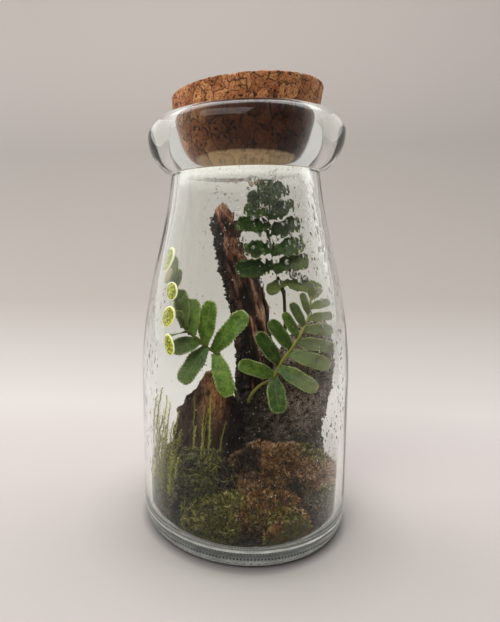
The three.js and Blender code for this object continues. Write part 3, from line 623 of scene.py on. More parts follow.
# driftwood: long fibres, painted shade dark down its left side, and orange at the tip
wood = {
    "grid": 0.42, "fibre": 0.55, "blotch": 3.0, "bump": 0.8,
    # height, and where the middle of the stick is there
    "keys": [(12.5, 6.8, 8.5), (24, 6.8, 8.5), (36, 6.2, 8.2), (47, 5.6, 7.8), (58, 4.8, 7.4), (68, 3.4, 7),
             (77, 1.4, 7), (86, -1.2, 7), (94, -4.5, 7), (100, -6.3, 7), (105.5, -7.4, 7), (109.5, -7.8, 7),
             (112.3, -8, 7)],
    "tones": [(0.26, "#0a0402"), (0.44, "#241008"), (0.56, "#4e2a1a"), (0.68, "#845440"), (0.84, "#c49a7c")],
    "tipTones": [(0.2, "#2a140a"), (0.42, "#6a341c"), (0.6, "#a8623c"), (0.8, "#e0b084")],
    "leftShadeTones": [(0.3, "#050201"), (0.55, "#1a0c05"), (0.75, "#482a1a")],
}
driftwood = finer("driftwood", "driftwood_tall", wood["grid"])
points, normals = surfaceOf(driftwood)
heights, middlesX, middlesY = np.array(wood["keys"]).T
dx = points[:, 0] - np.interp(points[:, 2], heights, middlesX)
dy = points[:, 1] - np.interp(points[:, 2], heights, middlesY)
straight = np.stack([dx, dy, points[:, 2] / 7], axis=1)
fibres = rough(straight, 1.0, 2.0) * 0.65 + rough(straight, 2.6, 6.0) * 0.65
fibres += rough(points, 5.0, 3.0) * 0.35
left = np.clip((-dx - 1.3) / 2.6 + 0.5 * rough(points * (1, 1, 0.4), 4.0, 8.0), 0, 1)
ragged = left * (np.abs(rough(points, 1.6, 9.0)) * 1.6 - 0.3)
tip = np.clip((points[:, 2] - 104) / 5, 0, 1)
setPoints(driftwood, points + normals * ((fibres + ragged - 0.3) * (1 - 0.3 * tip))[:, None])
# painted shade: dark down the left side of the stick, less near the tip
setAttribute(driftwood, "char", np.clip(left * 1.3, 0, 1) * (1 - 0.7 * tip))
setAttribute(driftwood, "tip", tip)
setAttribute(driftwood, "fibre", fibres)


def wetDriftwood():
    # old root wood, wet: red-brown fibres with black hollows between them
    material, add, where = newMaterial("wetDriftwood")
    along = add("Mapping", {"Vector": where, "Scale": (1, 1, 0.16)})
    grain = {"Vector": along, "Scale": 1 / (wood["fibre"] * mm), "Detail": 6, "Roughness": 0.75}
    grain = add("TexNoise", {**grain, "Distortion": 0.6})
    blotch = add("Mapping", {"Vector": where, "Scale": (1, 1, 0.5)})
    blotch = add("TexNoise", (blotch, 0, 1 / (wood["blotch"] * mm), 3, 0.6))
    char, tip, fibre = [add("Attribute", out="Fac", attribute_name=n) for n in ("char", "tip", "fibre")]
    tone = weighted(add, (grain, 0.75), (fibre, 0.5), (blotch, 0.25))
    ramps = ("tones", "tipTones", "leftShadeTones")
    brown, orange, black = [add("ValToRGB", (tone,), stops=wood[n]) for n in ramps]
    bump = add("Bump", {"Strength": 1, "Distance": wood["bump"] * mm, "Height": grain})
    add("OutputMaterial", (add("BsdfPrincipled", {
        "Base Color": painted(add, brown, (tip, orange), (char, black)), "Roughness": 0.5,
        "Specular IOR Level": 0.4, "Normal": bump}),))
    return material


finishPiece(driftwood, wetDriftwood(), "driftwood", "driftwood_tall")

# bark chunk: grey-brown plates, tan streaks near the point
bark = {
    "grid": 0.55, "coarse": 3.0, "fine": 0.5, "stretch": 0.35, "roughness": 0.65, "bump": 0.8,
    "tones": [(0.34, "#0d0705"), (0.48, "#352118"), (0.58, "#624634"), (0.72, "#a88a6c")],
    "redTones": [(0.35, "#080303"), (0.55, "#1c0c0d"), (0.75, "#4c221e")],
    "tanTones": [(0.3, "#4e2814"), (0.5, "#b07446"), (0.72, "#f4c496")],
}
barkChunk = finer("barkChunk", "bark_chunk", bark["grid"], smoothing=1)
points, normals = surfaceOf(barkChunk)
plates = rough(points * (1, 1, 0.35), 1.7, 3.0) - 0.3
plates += 0.7 * np.abs(rough(points * (1, 1, 0.6), 4.0, 7.0))
setPoints(barkChunk, keepInside(points + normals * (plates - 0.1)[:, None]))
streak = np.clip((points[:, 2] - 33) / 12, 0, 1) * np.clip(1.3 - np.abs(points[:, 0] + 9.5) / 5, 0, 1)
streak = np.clip(streak * (0.6 + 0.8 * rough(points * (1, 1, 0.2), 1.2, 2.0)), 0, 1)
setAttribute(barkChunk, "streak", streak)
setAttribute(barkChunk, "red", np.clip((points[:, 0] + 9.0) / 4, 0, 1))


def barkPatch(add, where, colour, fine):
    coats = []
    for name, tones in (("red", "redTones"), ("streak", "tanTones")):
        share = add("Attribute", out="Fac", attribute_name=name)
        coats.append((share, add("ValToRGB", (fine,), stops=bark[tones])))
    return painted(add, colour, *coats)


finishPiece(barkChunk, roughSurface("barkPlates", bark, barkPatch), "bark", "bark_chunk")

# root mass: crumbly peat and fern roots
roots = {
    "grid": 0.6, "crumbs": 2600, "hairs": 110, "coarse": 3.2, "fine": 0.5, "stretch": 1, "roughness": 0.7,
    "bump": 0.7, "tones": [(0.3, "#0a0706"), (0.46, "#29201a"), (0.6, "#56473c"), (0.78, "#a08c7c")],
    "crumbTones": [(0.0, "#0c0907"), (0.5, "#33271f"), (0.85, "#6b5a4c"), (1.0, "#a89684")],
    "hairTones": [(0.0, "#33241a"), (0.5, "#6a523e"), (1.0, "#a88c70")],
    "greyAndLitTones": [(0.32, "#3c3029"), (0.46, "#947e70"), (0.58, "#d2beac"), (0.75, "#faecdc")],
    # the colour that the painted shade in the hollows and the middle multiplies by
    "hollow": "#6a625c",
}
rootMass = finer("rootMass", "root_mass", roots["grid"])
points, normals = surfaceOf(rootMass)
crumbs = 1.7 * np.abs(rough(points, 3.0, 4.0)) + 0.9 * rough(points, 1.4, 2.0)
crumbs += rough(points, 7.0, 9.0) - 0.8
setPoints(rootMass, keepInside(points + normals * crumbs[:, None]))
rootMass = withLitter(rootMass, roots["crumbs"], roots["hairs"], 67)
rootLitter = litterPatch(roots["crumbTones"], roots["hairTones"])


def rootPatch(add, where, colour, fine):
    # greyer and lighter where the ball bulges out at the upper right, partly its own grey-brown and partly
    # painted light; painted shade makes it black in its hollows and deep in the middle
    x, y, z = add("SeparateXYZ", (where,)).node.outputs
    right = add("MapRange", (x, 8 * mm, 17 * mm, 0, 0.95))
    high = add("MapRange", (z, 30 * mm, 41 * mm, 0.2, 1))
    # painted light, partly a greyer tone: the upper right is made lighter
    dry = add("ValToRGB", (fine,), stops=roots["greyAndLitTones"])
    colour = painted(add, colour, (add("Math", (right, high), operation="MULTIPLY"), dry))
    colour = rootLitter(add, where, colour, fine)
    # painted shade: dark patches for crevices, and the middle darkened where it lies deep
    uneven = add("TexNoise", (where, 0, 1 / (6.5 * mm), 2, 0.6))
    hollow = add("MapRange", (uneven, 0.4, 0.56, 0.6, 0))
    middle = add("Math", (add("MapRange", (x, 6 * mm, 11 * mm, 0.6, 0)), high), operation="MULTIPLY")
    dark = add("Mix", {0: 1, 6: colour, 7: roots["hollow"]}, 2, data_type="RGBA", blend_type="MULTIPLY")
    return painted(add, colour, (add("Math", (hollow, middle), operation="MAXIMUM"), dark))


finishPiece(rootMass, roughSurface("rootPeat", roots, rootPatch), "peat", "root_mass")

# ferns: fronds with rounded leaflets, each given by its place along the stalk, its tip and its width

towardsViewer = (-0.1, -0.9, 0.42)
towardsGlass = (0.1, 0.55, 0.83)

rightFrond = {
    "stalk": [(1.5, -1, 36), (2.5, -2.5, 43.5), (5.5, -5, 48.5), (10, -8, 52.5), (12.5, -10, 58.5),
              (15.5, -11, 63.5), (18, -11, 67.5), (20, -10, 71.5), (21.5, -8, 75), (22.5, -6, 80.5)],
    "face": towardsViewer,
    "leaflets": [
        (3.1, (12, -13, 42), 6), (3.2, (-1.5, -11, 58), 5), (3.7, (23.5, -15, 51), 5.3),
        (3.9, (4.5, -13, 69), 5), (4.7, (27.5, -13, 58.5), 5), (5, (8.5, -12, 73), 4.5),
        (5.6, (29, -11, 64), 4.2), (5.9, (13, -11, 75.5), 3.2), (6.6, (29, -9, 69.5), 3.8),
        (6.8, (15.5, -9, 78.5), 3), (7.5, (29, -7, 74), 3.2), (7.8, (19, -7, 81.5), 2.6),
        (8.3, (28.5, -5, 78.5), 3), (8.8, (25.5, -4.5, 83), 2.8), (8.9, (22, -5.5, 85), 2.6),
    ],
}
leftFrond = {
    "stalk": [(-1.5, -0.5, 37), (-2.5, 0, 44), (-4.6, -1, 50), (-7.4, -6, 56), (-9, -10, 61),
              (-12.5, -12, 64),
              (-15, -13.5, 67), (-18, -14.5, 69.5), (-20.5, -15.5, 74), (-21.5, -15, 80), (-22.5, -14, 87)],
    "face": towardsViewer,
    "leaflets": [
        (4.1, (-4.5, -15, 48), 6.2), (4.3, (1, -12, 75.5), 6.4), (4.9, (-20, -16, 52.5), 6.2),
        (5.1, (-10.5, -13, 79.5), 5.6), (5.7, (-23, -18.5, 64), 5.6), (6.5, (-16.5, -12, 80), 5.4),
        (7.3, (-20.5, -12, 83), 5), (6.9, (-22.5, -21.5, 69), 4.4, towardsGlass),
        (8.1, (-22, -21.5, 77), 4.8, towardsGlass), (9, (-20.5, -21.5, 84), 4.2, towardsGlass),
        (9.4, (-21.5, -10, 89.5), 3.6), (9.8, (-24, -15.5, 94), 3.6),
    ],
}
backFrond = {
    "stalk": [(17, 3.5, 50), (15.5, 4, 59), (14.5, 2.5, 76), (13.5, 1, 83.5), (11.5, -1, 86), (10, -2.5, 90),
              (9.5, -4, 95.5), (8, -5, 100.5), (7.5, -6, 105.5), (7, -6.5, 110), (6.5, -7, 114.5)],
    "face": (0.05, -0.93, 0.35),
    "leaflets": [
        (3, (8, -2, 81.5), 4.7), (3.1, (26.5, -2, 82.5), 4.4), (4.8, (21.5, -5, 92.5), 6),
        (5, (-2.5, -8, 89), 6.5), (5.9, (19.5, -6, 98), 5.7), (6.1, (0.5, -8, 96), 5.6),
        (7.1, (18, -6.5, 104.5), 5.5), (7.6, (-2.5, -9, 104), 6), (8.2, (15.5, -7, 110.5), 4.9),
        (8.5, (0, -8.5, 108.5), 4.4), (9.1, (13, -7, 116.5), 5.2), (9.2, (1, -8, 113), 4.9),
        (9.7, (5, -8, 118), 4.4), (9.8, (8.5, -7.5, 118.3), 4.4),
    ],
}

blade = {"stations": 58, "columns": 9, "thickness": 0.3, "arch": 0.18, "hollow": 0.12,
         "teeth": 13, "margin": 1.0}
# leaf tips of the left frond pressed on the wet glass, each in a pale rim of water that is a painted
# highlight:
# middle, half width, half height, lean, and 4 where the tip is brown
wetTips = [
    ((-25.7, -14.9, 92.6), 3.3, 3.9, 0.3), ((-24.0, -17.2, 87.6), 1.5, 2.4, 0.3, 4.0),
    ((-21.9, -19.8, 83.2), 2.6, 2.9, -0.15), ((-22.8, -20.9, 75.3), 3.0, 3.3, 0.1),
    ((-22.3, -23.1, 66.9), 2.2, 3.1, -0.3),
]


def clearOfGlass(point, margin):
    limit = innerRadius(point[2]) - margin
    reach = math.hypot(point[0], point[1])
    if reach > limit:
        point[0] *= limit / reach
        point[1] *= limit / reach
    return point


def leafletShape(u):
    # half width along the leaflet: narrow at its base, round at its tip
    grown = min(u / 0.4, 1)
    tip = math.sqrt(max(1 - ((u - 0.74) / 0.28) ** 2, 0)) if u > 0.74 else 1
    return (0.5 + 0.5 * grown * grown * (3 - 2 * grown)) * tip


def leafletMesh(root, tip, width, face, seed):
    axis = tip - root
    length = np.linalg.norm(axis)
    along = axis / length
    across = np.cross(face, along)
    across = across / np.linalg.norm(across)
    up = np.cross(along, across)
    stations, columns = blade["stations"], blade["columns"]
    points, marks = [], []
    for side in (1, -1):
        for i in range(stations):
            u = (i / (stations - 1)) ** 0.9
            beat = math.pi * blade["teeth"] * u + 0.8 * math.sin(5 * u + seed)
            half = 0.5 * width * leafletShape(u) * (0.92 + 0.14 * abs(math.sin(beat)))
            arch = blade["arch"] * length * u * (1 - u)
            ripple = 0.06 * width * math.sin(9 * u + seed)
            for j in range(columns):
                s = -1 + 2 * j / (columns - 1)
                thin = 0.5 * blade["thickness"] * (1 - 0.7 * s * s)
                fold = ripple * s * abs(s) - 0.1 * width * max(0.2 - abs(s), 0)
                rise = arch + blade["hollow"] * half * s * s + fold
                point = root + axis * u + across * (s * half) + up * (rise + side * thin)
                points.append(clearOfGlass(point, blade["margin"] - side * thin))
                marks.append((u, s, (seed * 0.37) % 1))
    faces = []
    count = stations * columns
    for i in range(stations - 1):
        for j in range(columns - 1):
            a = i * columns + j
            faces.append((a, a + 1, a + columns + 1, a + columns))
            faces.append((count + a, count + a + columns, count + a + columns + 1, count + a + 1))
        a, b = i * columns, i * columns + columns - 1
        faces.append((a, a + columns, count + a + columns, count + a))
        faces.append((b, count + b, count + b + columns, b + columns))
    for j in range(columns - 1):
        end = (stations - 1) * columns + j
        faces.append((j, count + j, count + j + 1, j + 1))
        faces.append((end, end + 1, count + end + 1, count + end))
    return points, faces, marks


def wetTip(middle, wide, tall, lean, mark=3.0):
    turn = math.atan2(middle[0], -middle[1])
    sides, marks, points = 40, [], []
    # each ring's size, and how far it stands off the glass
    rings = [(1.0, 0.45), (1.0, 0.12), (0.85, 0.0), (0.6, 0.0), (0.3, 0.0)]
    for part, depth in rings:
        for k in range(sides):
            a = 2 * math.pi * k / sides
            bump = 1 + 0.04 * math.sin(2 * a + middle[2]) + 0.015 * math.sin(9 * a)
            z = tall * part * math.sin(a) * bump
            x = wide * part * math.cos(a) * bump + lean * z
            height = middle[2] + z
            reach = float(innerRadius(height)) - 0.12 - depth
            along = turn + x / reach
            points.append((reach * math.sin(along), -reach * math.cos(along), height))
            marks.append((mark, part, 0.0))
    return points, closedRings(len(rings), sides), marks


def frondObject(name, frond, seed, tips=()):
    last = len(frond["stalk"]) - 1
    path = [alongCurve(frond["stalk"], i / 60) for i in range(61)]
    parts = [tube(path, [0.6 - 0.25 * i / 60 for i in range(61)], 8)]
    marks = [(-1, 0, 0)] * len(parts[0][0])
    leaves = []
    for index, leaflet in enumerate(frond["leaflets"]):
        root = alongCurve(frond["stalk"], leaflet[0] / last)
        tip = clearOfGlass(np.array(leaflet[1], float), blade["margin"])
        face = leaflet[3] if len(leaflet) > 3 else frond["face"]
        leaves.append(leafletMesh(root, tip, leaflet[2], face, seed + 1.7 * index))
    for points, faces, own in leaves + [wetTip(*tip) for tip in tips]:
        parts.append((points, faces))
        marks += own
    obj = joinParts(name, parts)
    setAttribute(obj, "leaf", marks, "FLOAT_VECTOR")
    faceOutward(obj)
    return obj


def leafLook(name, dark, middle, light, rim, stalk, faded, fade):
    # thin living leaf: light comes through it, side veins, a pale toothed margin, and paler where it lies on
    # the wet glass or is old;
    # the tips on the glass glow with painted light for the light that comes through them
    material, add, where = newMaterial(name)
    u, s, own = add("SeparateXYZ", (add("Attribute", out="Vector", attribute_name="leaf"),)).node.outputs
    x, y, z = add("SeparateXYZ", (where,)).node.outputs
    away = add("Math", (s,), operation="ABSOLUTE")
    patches = add("TexNoise", (where, 0, 1 / (1.8 * mm), 5, 0.65))
    tone = weighted(add, (patches, 0.85), (own, 0.22))
    colour = add("ValToRGB", (tone,), stops=[(0.34, dark), (0.52, middle), (0.72, light)])
    veins = add("Math", (weighted(add, (u, 75), (away, -9)),), operation="SINE")
    vein = add("MapRange", (veins, 0.75, 1, 0, 0.2))
    rib = add("MapRange", (away, 0, 0.1, 0.55, 0))
    end = add("MapRange", (u, 0.955, 0.985, 0, 1))
    margin = add("Math", (add("MapRange", (away, 0.8, 0.95, 0, 1)), end), operation="MAXIMUM")
    broken = add("MapRange", (add("TexNoise", (where, 0, 1 / (1.2 * mm), 2, 0.6)), 0.35, 0.6, 0.25, 0.85))
    dots = add("TexNoise", (where, 0, 1 / (0.7 * mm), 2, 0.6))
    wet = add("ValToRGB", (dots,), stops=[(0.4, "#4a5204"), (0.5, "#888c08"), (0.62, "#c4c028")])
    # painted highlight: the outer rim of each wet tip is pale
    wet = painted(add, wet, (add("Math", (away, 0.9), operation="GREATER_THAN"), "#f0ebc0"),
                  (add("Math", (u, 3.5), operation="GREATER_THAN"), "#8f8458"))
    isTip = add("Math", (u, 2), operation="GREATER_THAN")
    colour = painted(add, colour, (add("Math", (vein, rib), operation="MAXIMUM"), light),
                     (fade(add, x, z), faded), (add("Math", (margin, broken), operation="MULTIPLY"), rim),
                     (add("Math", (u, -0.5), operation="LESS_THAN"), stalk), (isTip, wet))
    height = add("Math", (vein, patches), operation="ADD")
    bump = add("Bump", {"Strength": 0.8, "Distance": 0.35 * mm, "Height": height})
    # painted light: the wet tips glow in their own colour
    body = add("BsdfPrincipled", {
        "Base Color": colour, "Roughness": 0.4, "Specular IOR Level": 0.4, "Normal": bump,
        "Emission Color": colour, "Emission Strength": add("Math", (isTip, 0.4), operation="MULTIPLY")})
    add("OutputMaterial", (add("MixShader", (0.25, body, add("BsdfTranslucent", (colour,)))),))
    return material


def fadeOut(add, x, z):
    return add("MapRange", (add("Math", (x,), operation="ABSOLUTE"), 14.5 * mm, 23 * mm, 0, 0.52))


def fadeHigh(add, x, z):
    high = add("MapRange", (z, 74 * mm, 81 * mm, 0, 0.8))
    right = add("MapRange", (x, 20 * mm, 24 * mm, 0, 1))
    corner = add("Math", (high, right), operation="MULTIPLY")
    return add("Math", (fadeOut(add, x, z), corner), operation="MAXIMUM")


def fadeLow(add, x, z):
    low = add("MapRange", (z, 83 * mm, 88 * mm, 0.75, 0))
    right = add("MapRange", (x, 14 * mm, 19 * mm, 0, 0.4))
    return add("Math", (low, right), operation="MAXIMUM")


leafRight = leafLook("fernRight", "#22360a", "#385412", "#5e7828", "#b4bd7c", "#9a9444", "#8a8862", fadeHigh)
leafGreen = leafLook("fernGreen", "#334c12", "#527220", "#7f9c3c", "#c4cc8c", "#737436", "#8f9c6c", fadeOut)
leafDark = leafLook("fernDark", "#0d1a00", "#1e3602", "#3e5c0c", "#66762c", "#383e18", "#76803a", fadeLow)
finishPiece(frondObject("frondRight", rightFrond, 1.0), leafRight, "fern", "fern_frond_right")
finishPiece(frondObject("frondLeft", leftFrond, 5.0, wetTips), leafGreen, "fern", "fern_frond_left")
finishPiece(frondObject("frondBack", backFrond, 9.0), leafDark, "fern_dark", "fern_frond_back")

# moss: each kind's colours deep down, where painted shade darkens them, and at the leaf tips, and where the
# latter lie on their ramp
evenly, steeply = (0.2, 0.45, 0.65, 0.85), (0.2, 0.5, 0.8, 0.95)
mossKinds = {
    "green": ("#080803 #1c1b0b #332f14", "#3c3812 #7a722c #aea24a #f2e8a4", evenly),
    "rust": ("#080503 #1d110a #332010", "#4e2c12 #905a2a #c68e4a #fadaa2", evenly),
    "brown": ("#0e0906 #342114 #563a24", "#6a4528 #b67c4a #e6b47c #ffeccc", evenly),
    "grey": ("#0b0806 #241c14 #3a2f22", "#483c2c #80705a #b2a082 #ecdfc2", evenly),
    "dull": ("#070604 #19170d #2c2918", "#36321c #686238 #979058 #d8d09c", evenly),
    "soil": ("#050403 #120d0a #1f1712", "#241710 #483324 #7a6350 #b29c86", steeply),
    "sprig": ("#14160a #2c3012 #444a1e", "#4c521c #7e8434 #a8a852 #d0ce84", (0.15, 0.5, 0.8, 0.95)),
}
stemTones = [(0.0, "#686a22"), (0.25, "#9a983e"), (0.5, "#c8c26c")]
# upright stems: foot, tip and lean
wallStems = [
    ((-29, -12.5, 13), (-26.6, -13.5, 50), -1.4), ((-28, -14, 13), (-25.2, -13.5, 47.5), 0.6),
    ((-27.5, -16, 13), (-26.2, -15, 41), -0.6), ((-26.3, -13, 13), (-23.4, -12.5, 38), 0.8),
    ((-26, -18, 13), (-24.4, -17.5, 35), -0.5), ((-24.8, -14.5, 13), (-21.2, -14, 42), 0.3),
    ((-24, -19.5, 12.5), (-22.6, -18.5, 30), 0.5), ((-23, -16, 13), (-20.2, -15.5, 36), -0.7),
]
barkStems = [
    ((-16.6, -14.6, 24), (-16, -13.2, 47), 0.4), ((-13.4, -15.2, 24), (-12.4, -13.6, 44), -0.5),
    ((-11.4, -15, 24), (-10.6, -13.6, 48.5), 0.5), ((-7.6, -14.6, 23), (-5.6, -13, 38.5), -0.4),
]
# leaves are "length" and "width" mm, and "zones" say where a neighbour takes over: its kind, the
# middle of its patch and its reach; feathery ones have their coarse stems pressed down to "crest"
cushions = [
    {"name": "mossFrontGreen", "node": "moss_front_green", "kind": "green",
     "slot": "moss_green", "count": 5400,
     "length": 1.45, "width": 0.2, "spread": 0.75, "seed": 11,
     "zones": [("rust", (5, -27, 13), 6), ("soil", (2, -31, 7), 3.5), ("soil", (-18, -20, 10), 4)]},
    {"name": "mossFrontRust", "node": "moss_front_rust", "kind": "rust",
     "slot": "moss_rust", "count": 4800,
     "length": 1.4, "width": 0.2, "spread": 0.75, "seed": 12,
     "zones": [("green", (-1, -27, 10), 5.5), ("green", (13, -26, 9), 6.5), ("soil", (3, -30, 6), 4.5)]},
    {"name": "mossFrontRight", "node": "moss_front_right", "kind": "green",
     "slot": "moss_green", "count": 2300,
     "length": 1.4, "width": 0.2, "spread": 0.75, "seed": 13,
     "zones": [("rust", (9, -27, 12), 4.5), ("grey", (21, -24, 9), 5)]},
    {"name": "mossRight", "node": "moss_right", "kind": "grey",
     "slot": "moss_grey", "count": 4000,
     "length": 1.3, "width": 0.2, "spread": 0.8, "seed": 14,
     "zones": [("green", (26.5, -18, 19), 3.5), ("soil", (18, -24, 12), 4), ("brown", (18, -14, 24), 5)]},
    {"name": "mossMound", "node": "moss_mound", "kind": "brown",
     "slot": "moss_brown", "count": 10400,
     "length": 1.45, "width": 0.21, "spread": 0.8, "seed": 15,
     "zones": [("rust", (11, -18, 26), 6.5), ("green", (25, -7, 31), 7.5), ("soil", (1, -14, 26), 5.5),
               ("soil", (16, -19, 18), 4)]},
    {"name": "mossBack", "node": "moss_back", "kind": "dull",
     "slot": "moss_green", "count": 5600,
     "length": 1.4, "width": 0.21, "spread": 0.8, "seed": 16,
     "zones": [("brown", (5, 22, 22), 8), ("green", (-18, 22, 22), 6)]},
    {"name": "featherWall", "node": "feather_moss_wall", "kind": "dull",
     "slot": "moss_sprig", "count": 2500,
     "length": 1.4, "width": 0.16, "spread": 0.7, "seed": 31, "look": "mossSprig",
     "crest": 15.5, "stems": wallStems, "extra": 16, "stray": 1.7, "thick": 1.15, "strands": 12,
     "zones": [("sprig", (-27, -16, 17), 7.5), ("soil", (-24, -20, 5), 6)]},
    {"name": "mossLeft", "node": "moss_left", "kind": "dull",
     "slot": "moss_green", "count": 6500,
     "length": 1.4, "width": 0.16, "spread": 0.7, "seed": 37,
     "crest": 27.5, "stems": barkStems, "extra": 4, "stray": 2.4, "thick": 0.62, "strands": 90,
     "zones": [("green", (-12, -20, 24), 4.5), ("soil", (-4, -17, 22), 6), ("soil", (-19, -21, 12), 6)]},
]
clumps = {"high": 1.3, "low": 0.8, "sink": 0.4, "sizes": (4.2, 1.9), "leaves": 5}
stemLook = {"radius": 0.26, "leaf": 1.3, "width": 0.3, "step": 0.34, "turn": 2.4, "lift": 0.7,
            "wander": 0.14}


def mossColour(add, kind, tone, depth):
    under, over, places = mossKinds[kind]
    shadedDeep = add("ValToRGB", (tone,), stops=list(zip((0.2, 0.6, 0.9), under.split())))
    return painted(add, shadedDeep, (depth, add("ValToRGB", (tone,), stops=list(zip(places, over.split())))))


def mossLook(name, kind, zones):
    # tiny wet leaves: painted shade makes them dark between them and in the hollows, lighter towards their
    # tips;
    # near a neighbour the other moss grows in among them
    material, add, where = newMaterial(name)
    tint, depth = [add("Attribute", out="Fac", attribute_name=n) for n in ("tint", "depth")]
    tone = weighted(add, (tint, 0.6), (add("TexNoise", (where, 0, 1 / (3.5 * mm), 2, 0.6)), 0.4))
    ragged = add("TexNoise", (where, 0, 1 / (2.2 * mm), 3, 0.6))
    ragged = add("Math", (ragged, 14 * mm, -7 * mm), operation="MULTIPLY_ADD")
    colour = mossColour(add, kind, tone, depth)
    for other, middle, reach in zones:
        away = add("VectorMath", (where, tuple(v * mm for v in middle)), "Value", operation="DISTANCE")
        away = add("Math", (away, ragged), operation="ADD")
        share = add("MapRange", (away, (reach - 1) * mm, (reach + 2) * mm, 1, 0))
        colour = painted(add, colour, (share, mossColour(add, other, tone, depth)))
    pale = add("ValToRGB", (add("Math", (tint, 2), operation="SUBTRACT"),), stops=stemTones)
    colour = painted(add, colour, (add("Math", (tint, 1.5), operation="GREATER_THAN"), pale))
    body = add("BsdfPrincipled", {"Base Color": colour, "Roughness": 0.55, "Specular IOR Level": 0.4})
    add("OutputMaterial", (add("MixShader", (0.15, body, add("BsdfTranslucent", (colour,)))),))
    return material


def shootMesh(place, normal, generator, moss):
    # each shoot is a star of small folded leaves, four corners each
    count, leaves = len(place), clumps["leaves"]
    base = np.repeat(place, leaves, axis=0)
    up = np.repeat(normal + (0, 0, 0.35), leaves, axis=0)
    out = up + generator.normal(0, moss["spread"], base.shape)
    out /= np.linalg.norm(out, axis=1)[:, None]
    side = np.cross(out, generator.normal(0, 1, base.shape))
    side /= np.maximum(np.linalg.norm(side, axis=1), 1e-6)[:, None]
    size = np.repeat(generator.uniform(0.7, 1.25, count), leaves)
    size *= generator.uniform(0.75, 1.2, count * leaves)
    length, width = [(moss[key] * size)[:, None] for key in ("length", "width")]
    corners = np.stack([base - out * 0.25, base + out * length * 0.5 + side * width, base + out * length,
                        base + out * length * 0.5 - side * width], axis=1).reshape(-1, 3)
    first = np.arange(count * leaves)[:, None] * 4
    faces = np.concatenate([first + (0, 1, 2), first + (0, 2, 3)])
    tint = np.repeat(np.repeat(generator.random(count), leaves), 4)
    return keepInside(corners, 0.2), faces, tint, np.tile((0.0, 0.6, 1.0, 0.6), count * leaves)


def clump(points, seed):
    # height of the tussocks, from the gaps between them at 0 to their crowns at 1
    first = 1 - np.abs(rough(points, clumps["sizes"][0], seed)) * 1.8
    second = 1 - np.abs(rough(points, clumps["sizes"][1], seed + 3)) * 1.6
    return np.clip(0.6 * first + 0.4 * second, 0, 1)


def bendPath(base, tip, lean, steps=24):
    base, tip = np.array(base, float), np.array(tip, float)
    middle = np.array((base[0] + lean, base[1], (base[2] + tip[2]) / 2))
    return [(1 - t) ** 2 * base + 2 * t * (1 - t) * middle + t * t * tip for t in np.linspace(0, 1, steps)]


def stemMesh(base, tip, lean, generator, thick):
    # one feathery stem with small leaves all round
    path = bendPath(base, tip, lean)
    wander = generator.normal(0, stemLook["wander"], (len(path), 3)) * (1, 1, 0)
    path = [p + w for p, w in zip(path, wander)]
    points, faces = tube(path, list(np.linspace(stemLook["radius"] * thick, 0.09, len(path))), 4)
    count = int(abs(tip[2] - base[2]) / stemLook["step"])
    for i in range(count):
        t = 0.12 + 0.88 * i / count
        place = t * (len(path) - 1)
        low = min(int(place), len(path) - 2)
        middle = path[low] + (path[low + 1] - path[low]) * (place - low)
        angle = i * stemLook["turn"] + generator.normal(0, 0.3)
        out = np.array((math.cos(angle), math.sin(angle), stemLook["lift"] + generator.normal(0, 0.2)))
        out /= np.linalg.norm(out)
        side = np.array((-math.sin(angle), math.cos(angle), 0)) * stemLook["width"] * thick
        size = stemLook["leaf"] * thick * (1 - 0.55 * t**3) * generator.uniform(0.7, 1.15)
        first = len(points)
        half = middle + out * size * 0.45
        points += [middle, half + side, middle + out * size, half - side]
        faces += [(first, first + 1, first + 2), (first, first + 2, first + 3)]
    return keepInside(np.array(points), 0.2), faces


def stemParts(moss, seed):
    # the modelled stems and finer ones between them
    stems, thick = moss["stems"], moss["thick"]
    generator = np.random.default_rng(seed)
    parts = [stemMesh(*stem, generator, thick) for stem in stems]
    for _ in range(moss["extra"]):
        base, tip, lean = stems[generator.integers(len(stems))]
        shift = generator.normal(0, moss["stray"], 3) * (1, 0.8, 0)
        height = generator.uniform(0.45, 0.95)
        top = np.array(tip) + shift * 1.4
        top[2] = base[2] + (tip[2] - base[2]) * height
        lean += generator.normal(0, 0.6)
        parts.append(stemMesh(np.array(base) + shift, top, lean, generator, thick))
    return parts


def mossObject(moss):
    seed, feathery = moss["seed"], "stems" in moss
    base = finer(moss["name"] + "Base", moss["node"], 0.8 if feathery else 0.9)
    if feathery:
        points = surfaceOf(base)[0]
        high = points[:, 2] > moss["crest"]
        points[high, 2] = moss["crest"] + 0.03 * (points[high, 2] - moss["crest"])
        setPoints(base, points)
    points, normals = surfaceOf(base)
    relief = (clumps["high"] + clumps["low"]) * clump(points, seed) - clumps["low"] - clumps["sink"]
    setPoints(base, keepInside(points + normals * relief[:, None], 0.35))
    place, normal, generator = surfacePlaces(base, moss["count"], seed)
    shootPoints, shootFaces, tint, depth = shootMesh(place, normal, generator, moss)
    # painted shade: leaves are darker in the gaps between the tussocks than on their crowns
    crown = clump(np.repeat(place, 4 * clumps["leaves"], axis=0), seed) ** 1.5
    least, ground = (0.3, 0.3) if feathery else (0.5, 0.2)
    parts = [(surfaceOf(base)[0], facesOf(base)), (shootPoints, shootFaces)]
    tints = [np.full(len(parts[0][0]), ground), tint]
    depths = [np.zeros(len(parts[0][0])), depth * (least + (1 - least) * crown)]
    if feathery:
        strands = strandParts(base, moss["strands"], seed + 2, (0.09, 0.14), 9, 1.0, 1.1)
        for more, brighter in ((strands, 0.3), (stemParts(moss, seed + 1), 0.5)):
            for part in more:
                parts.append(part)
                tints.append(np.full(len(part[0]), 2.0 + brighter * generator.random()))
                depths.append(np.ones(len(part[0])))
    obj = joinParts(moss["name"], parts)
    setAttribute(obj, "tint", np.concatenate(tints))
    setAttribute(obj, "depth", np.concatenate(depths))
    bpy.data.objects.remove(base)
    return obj


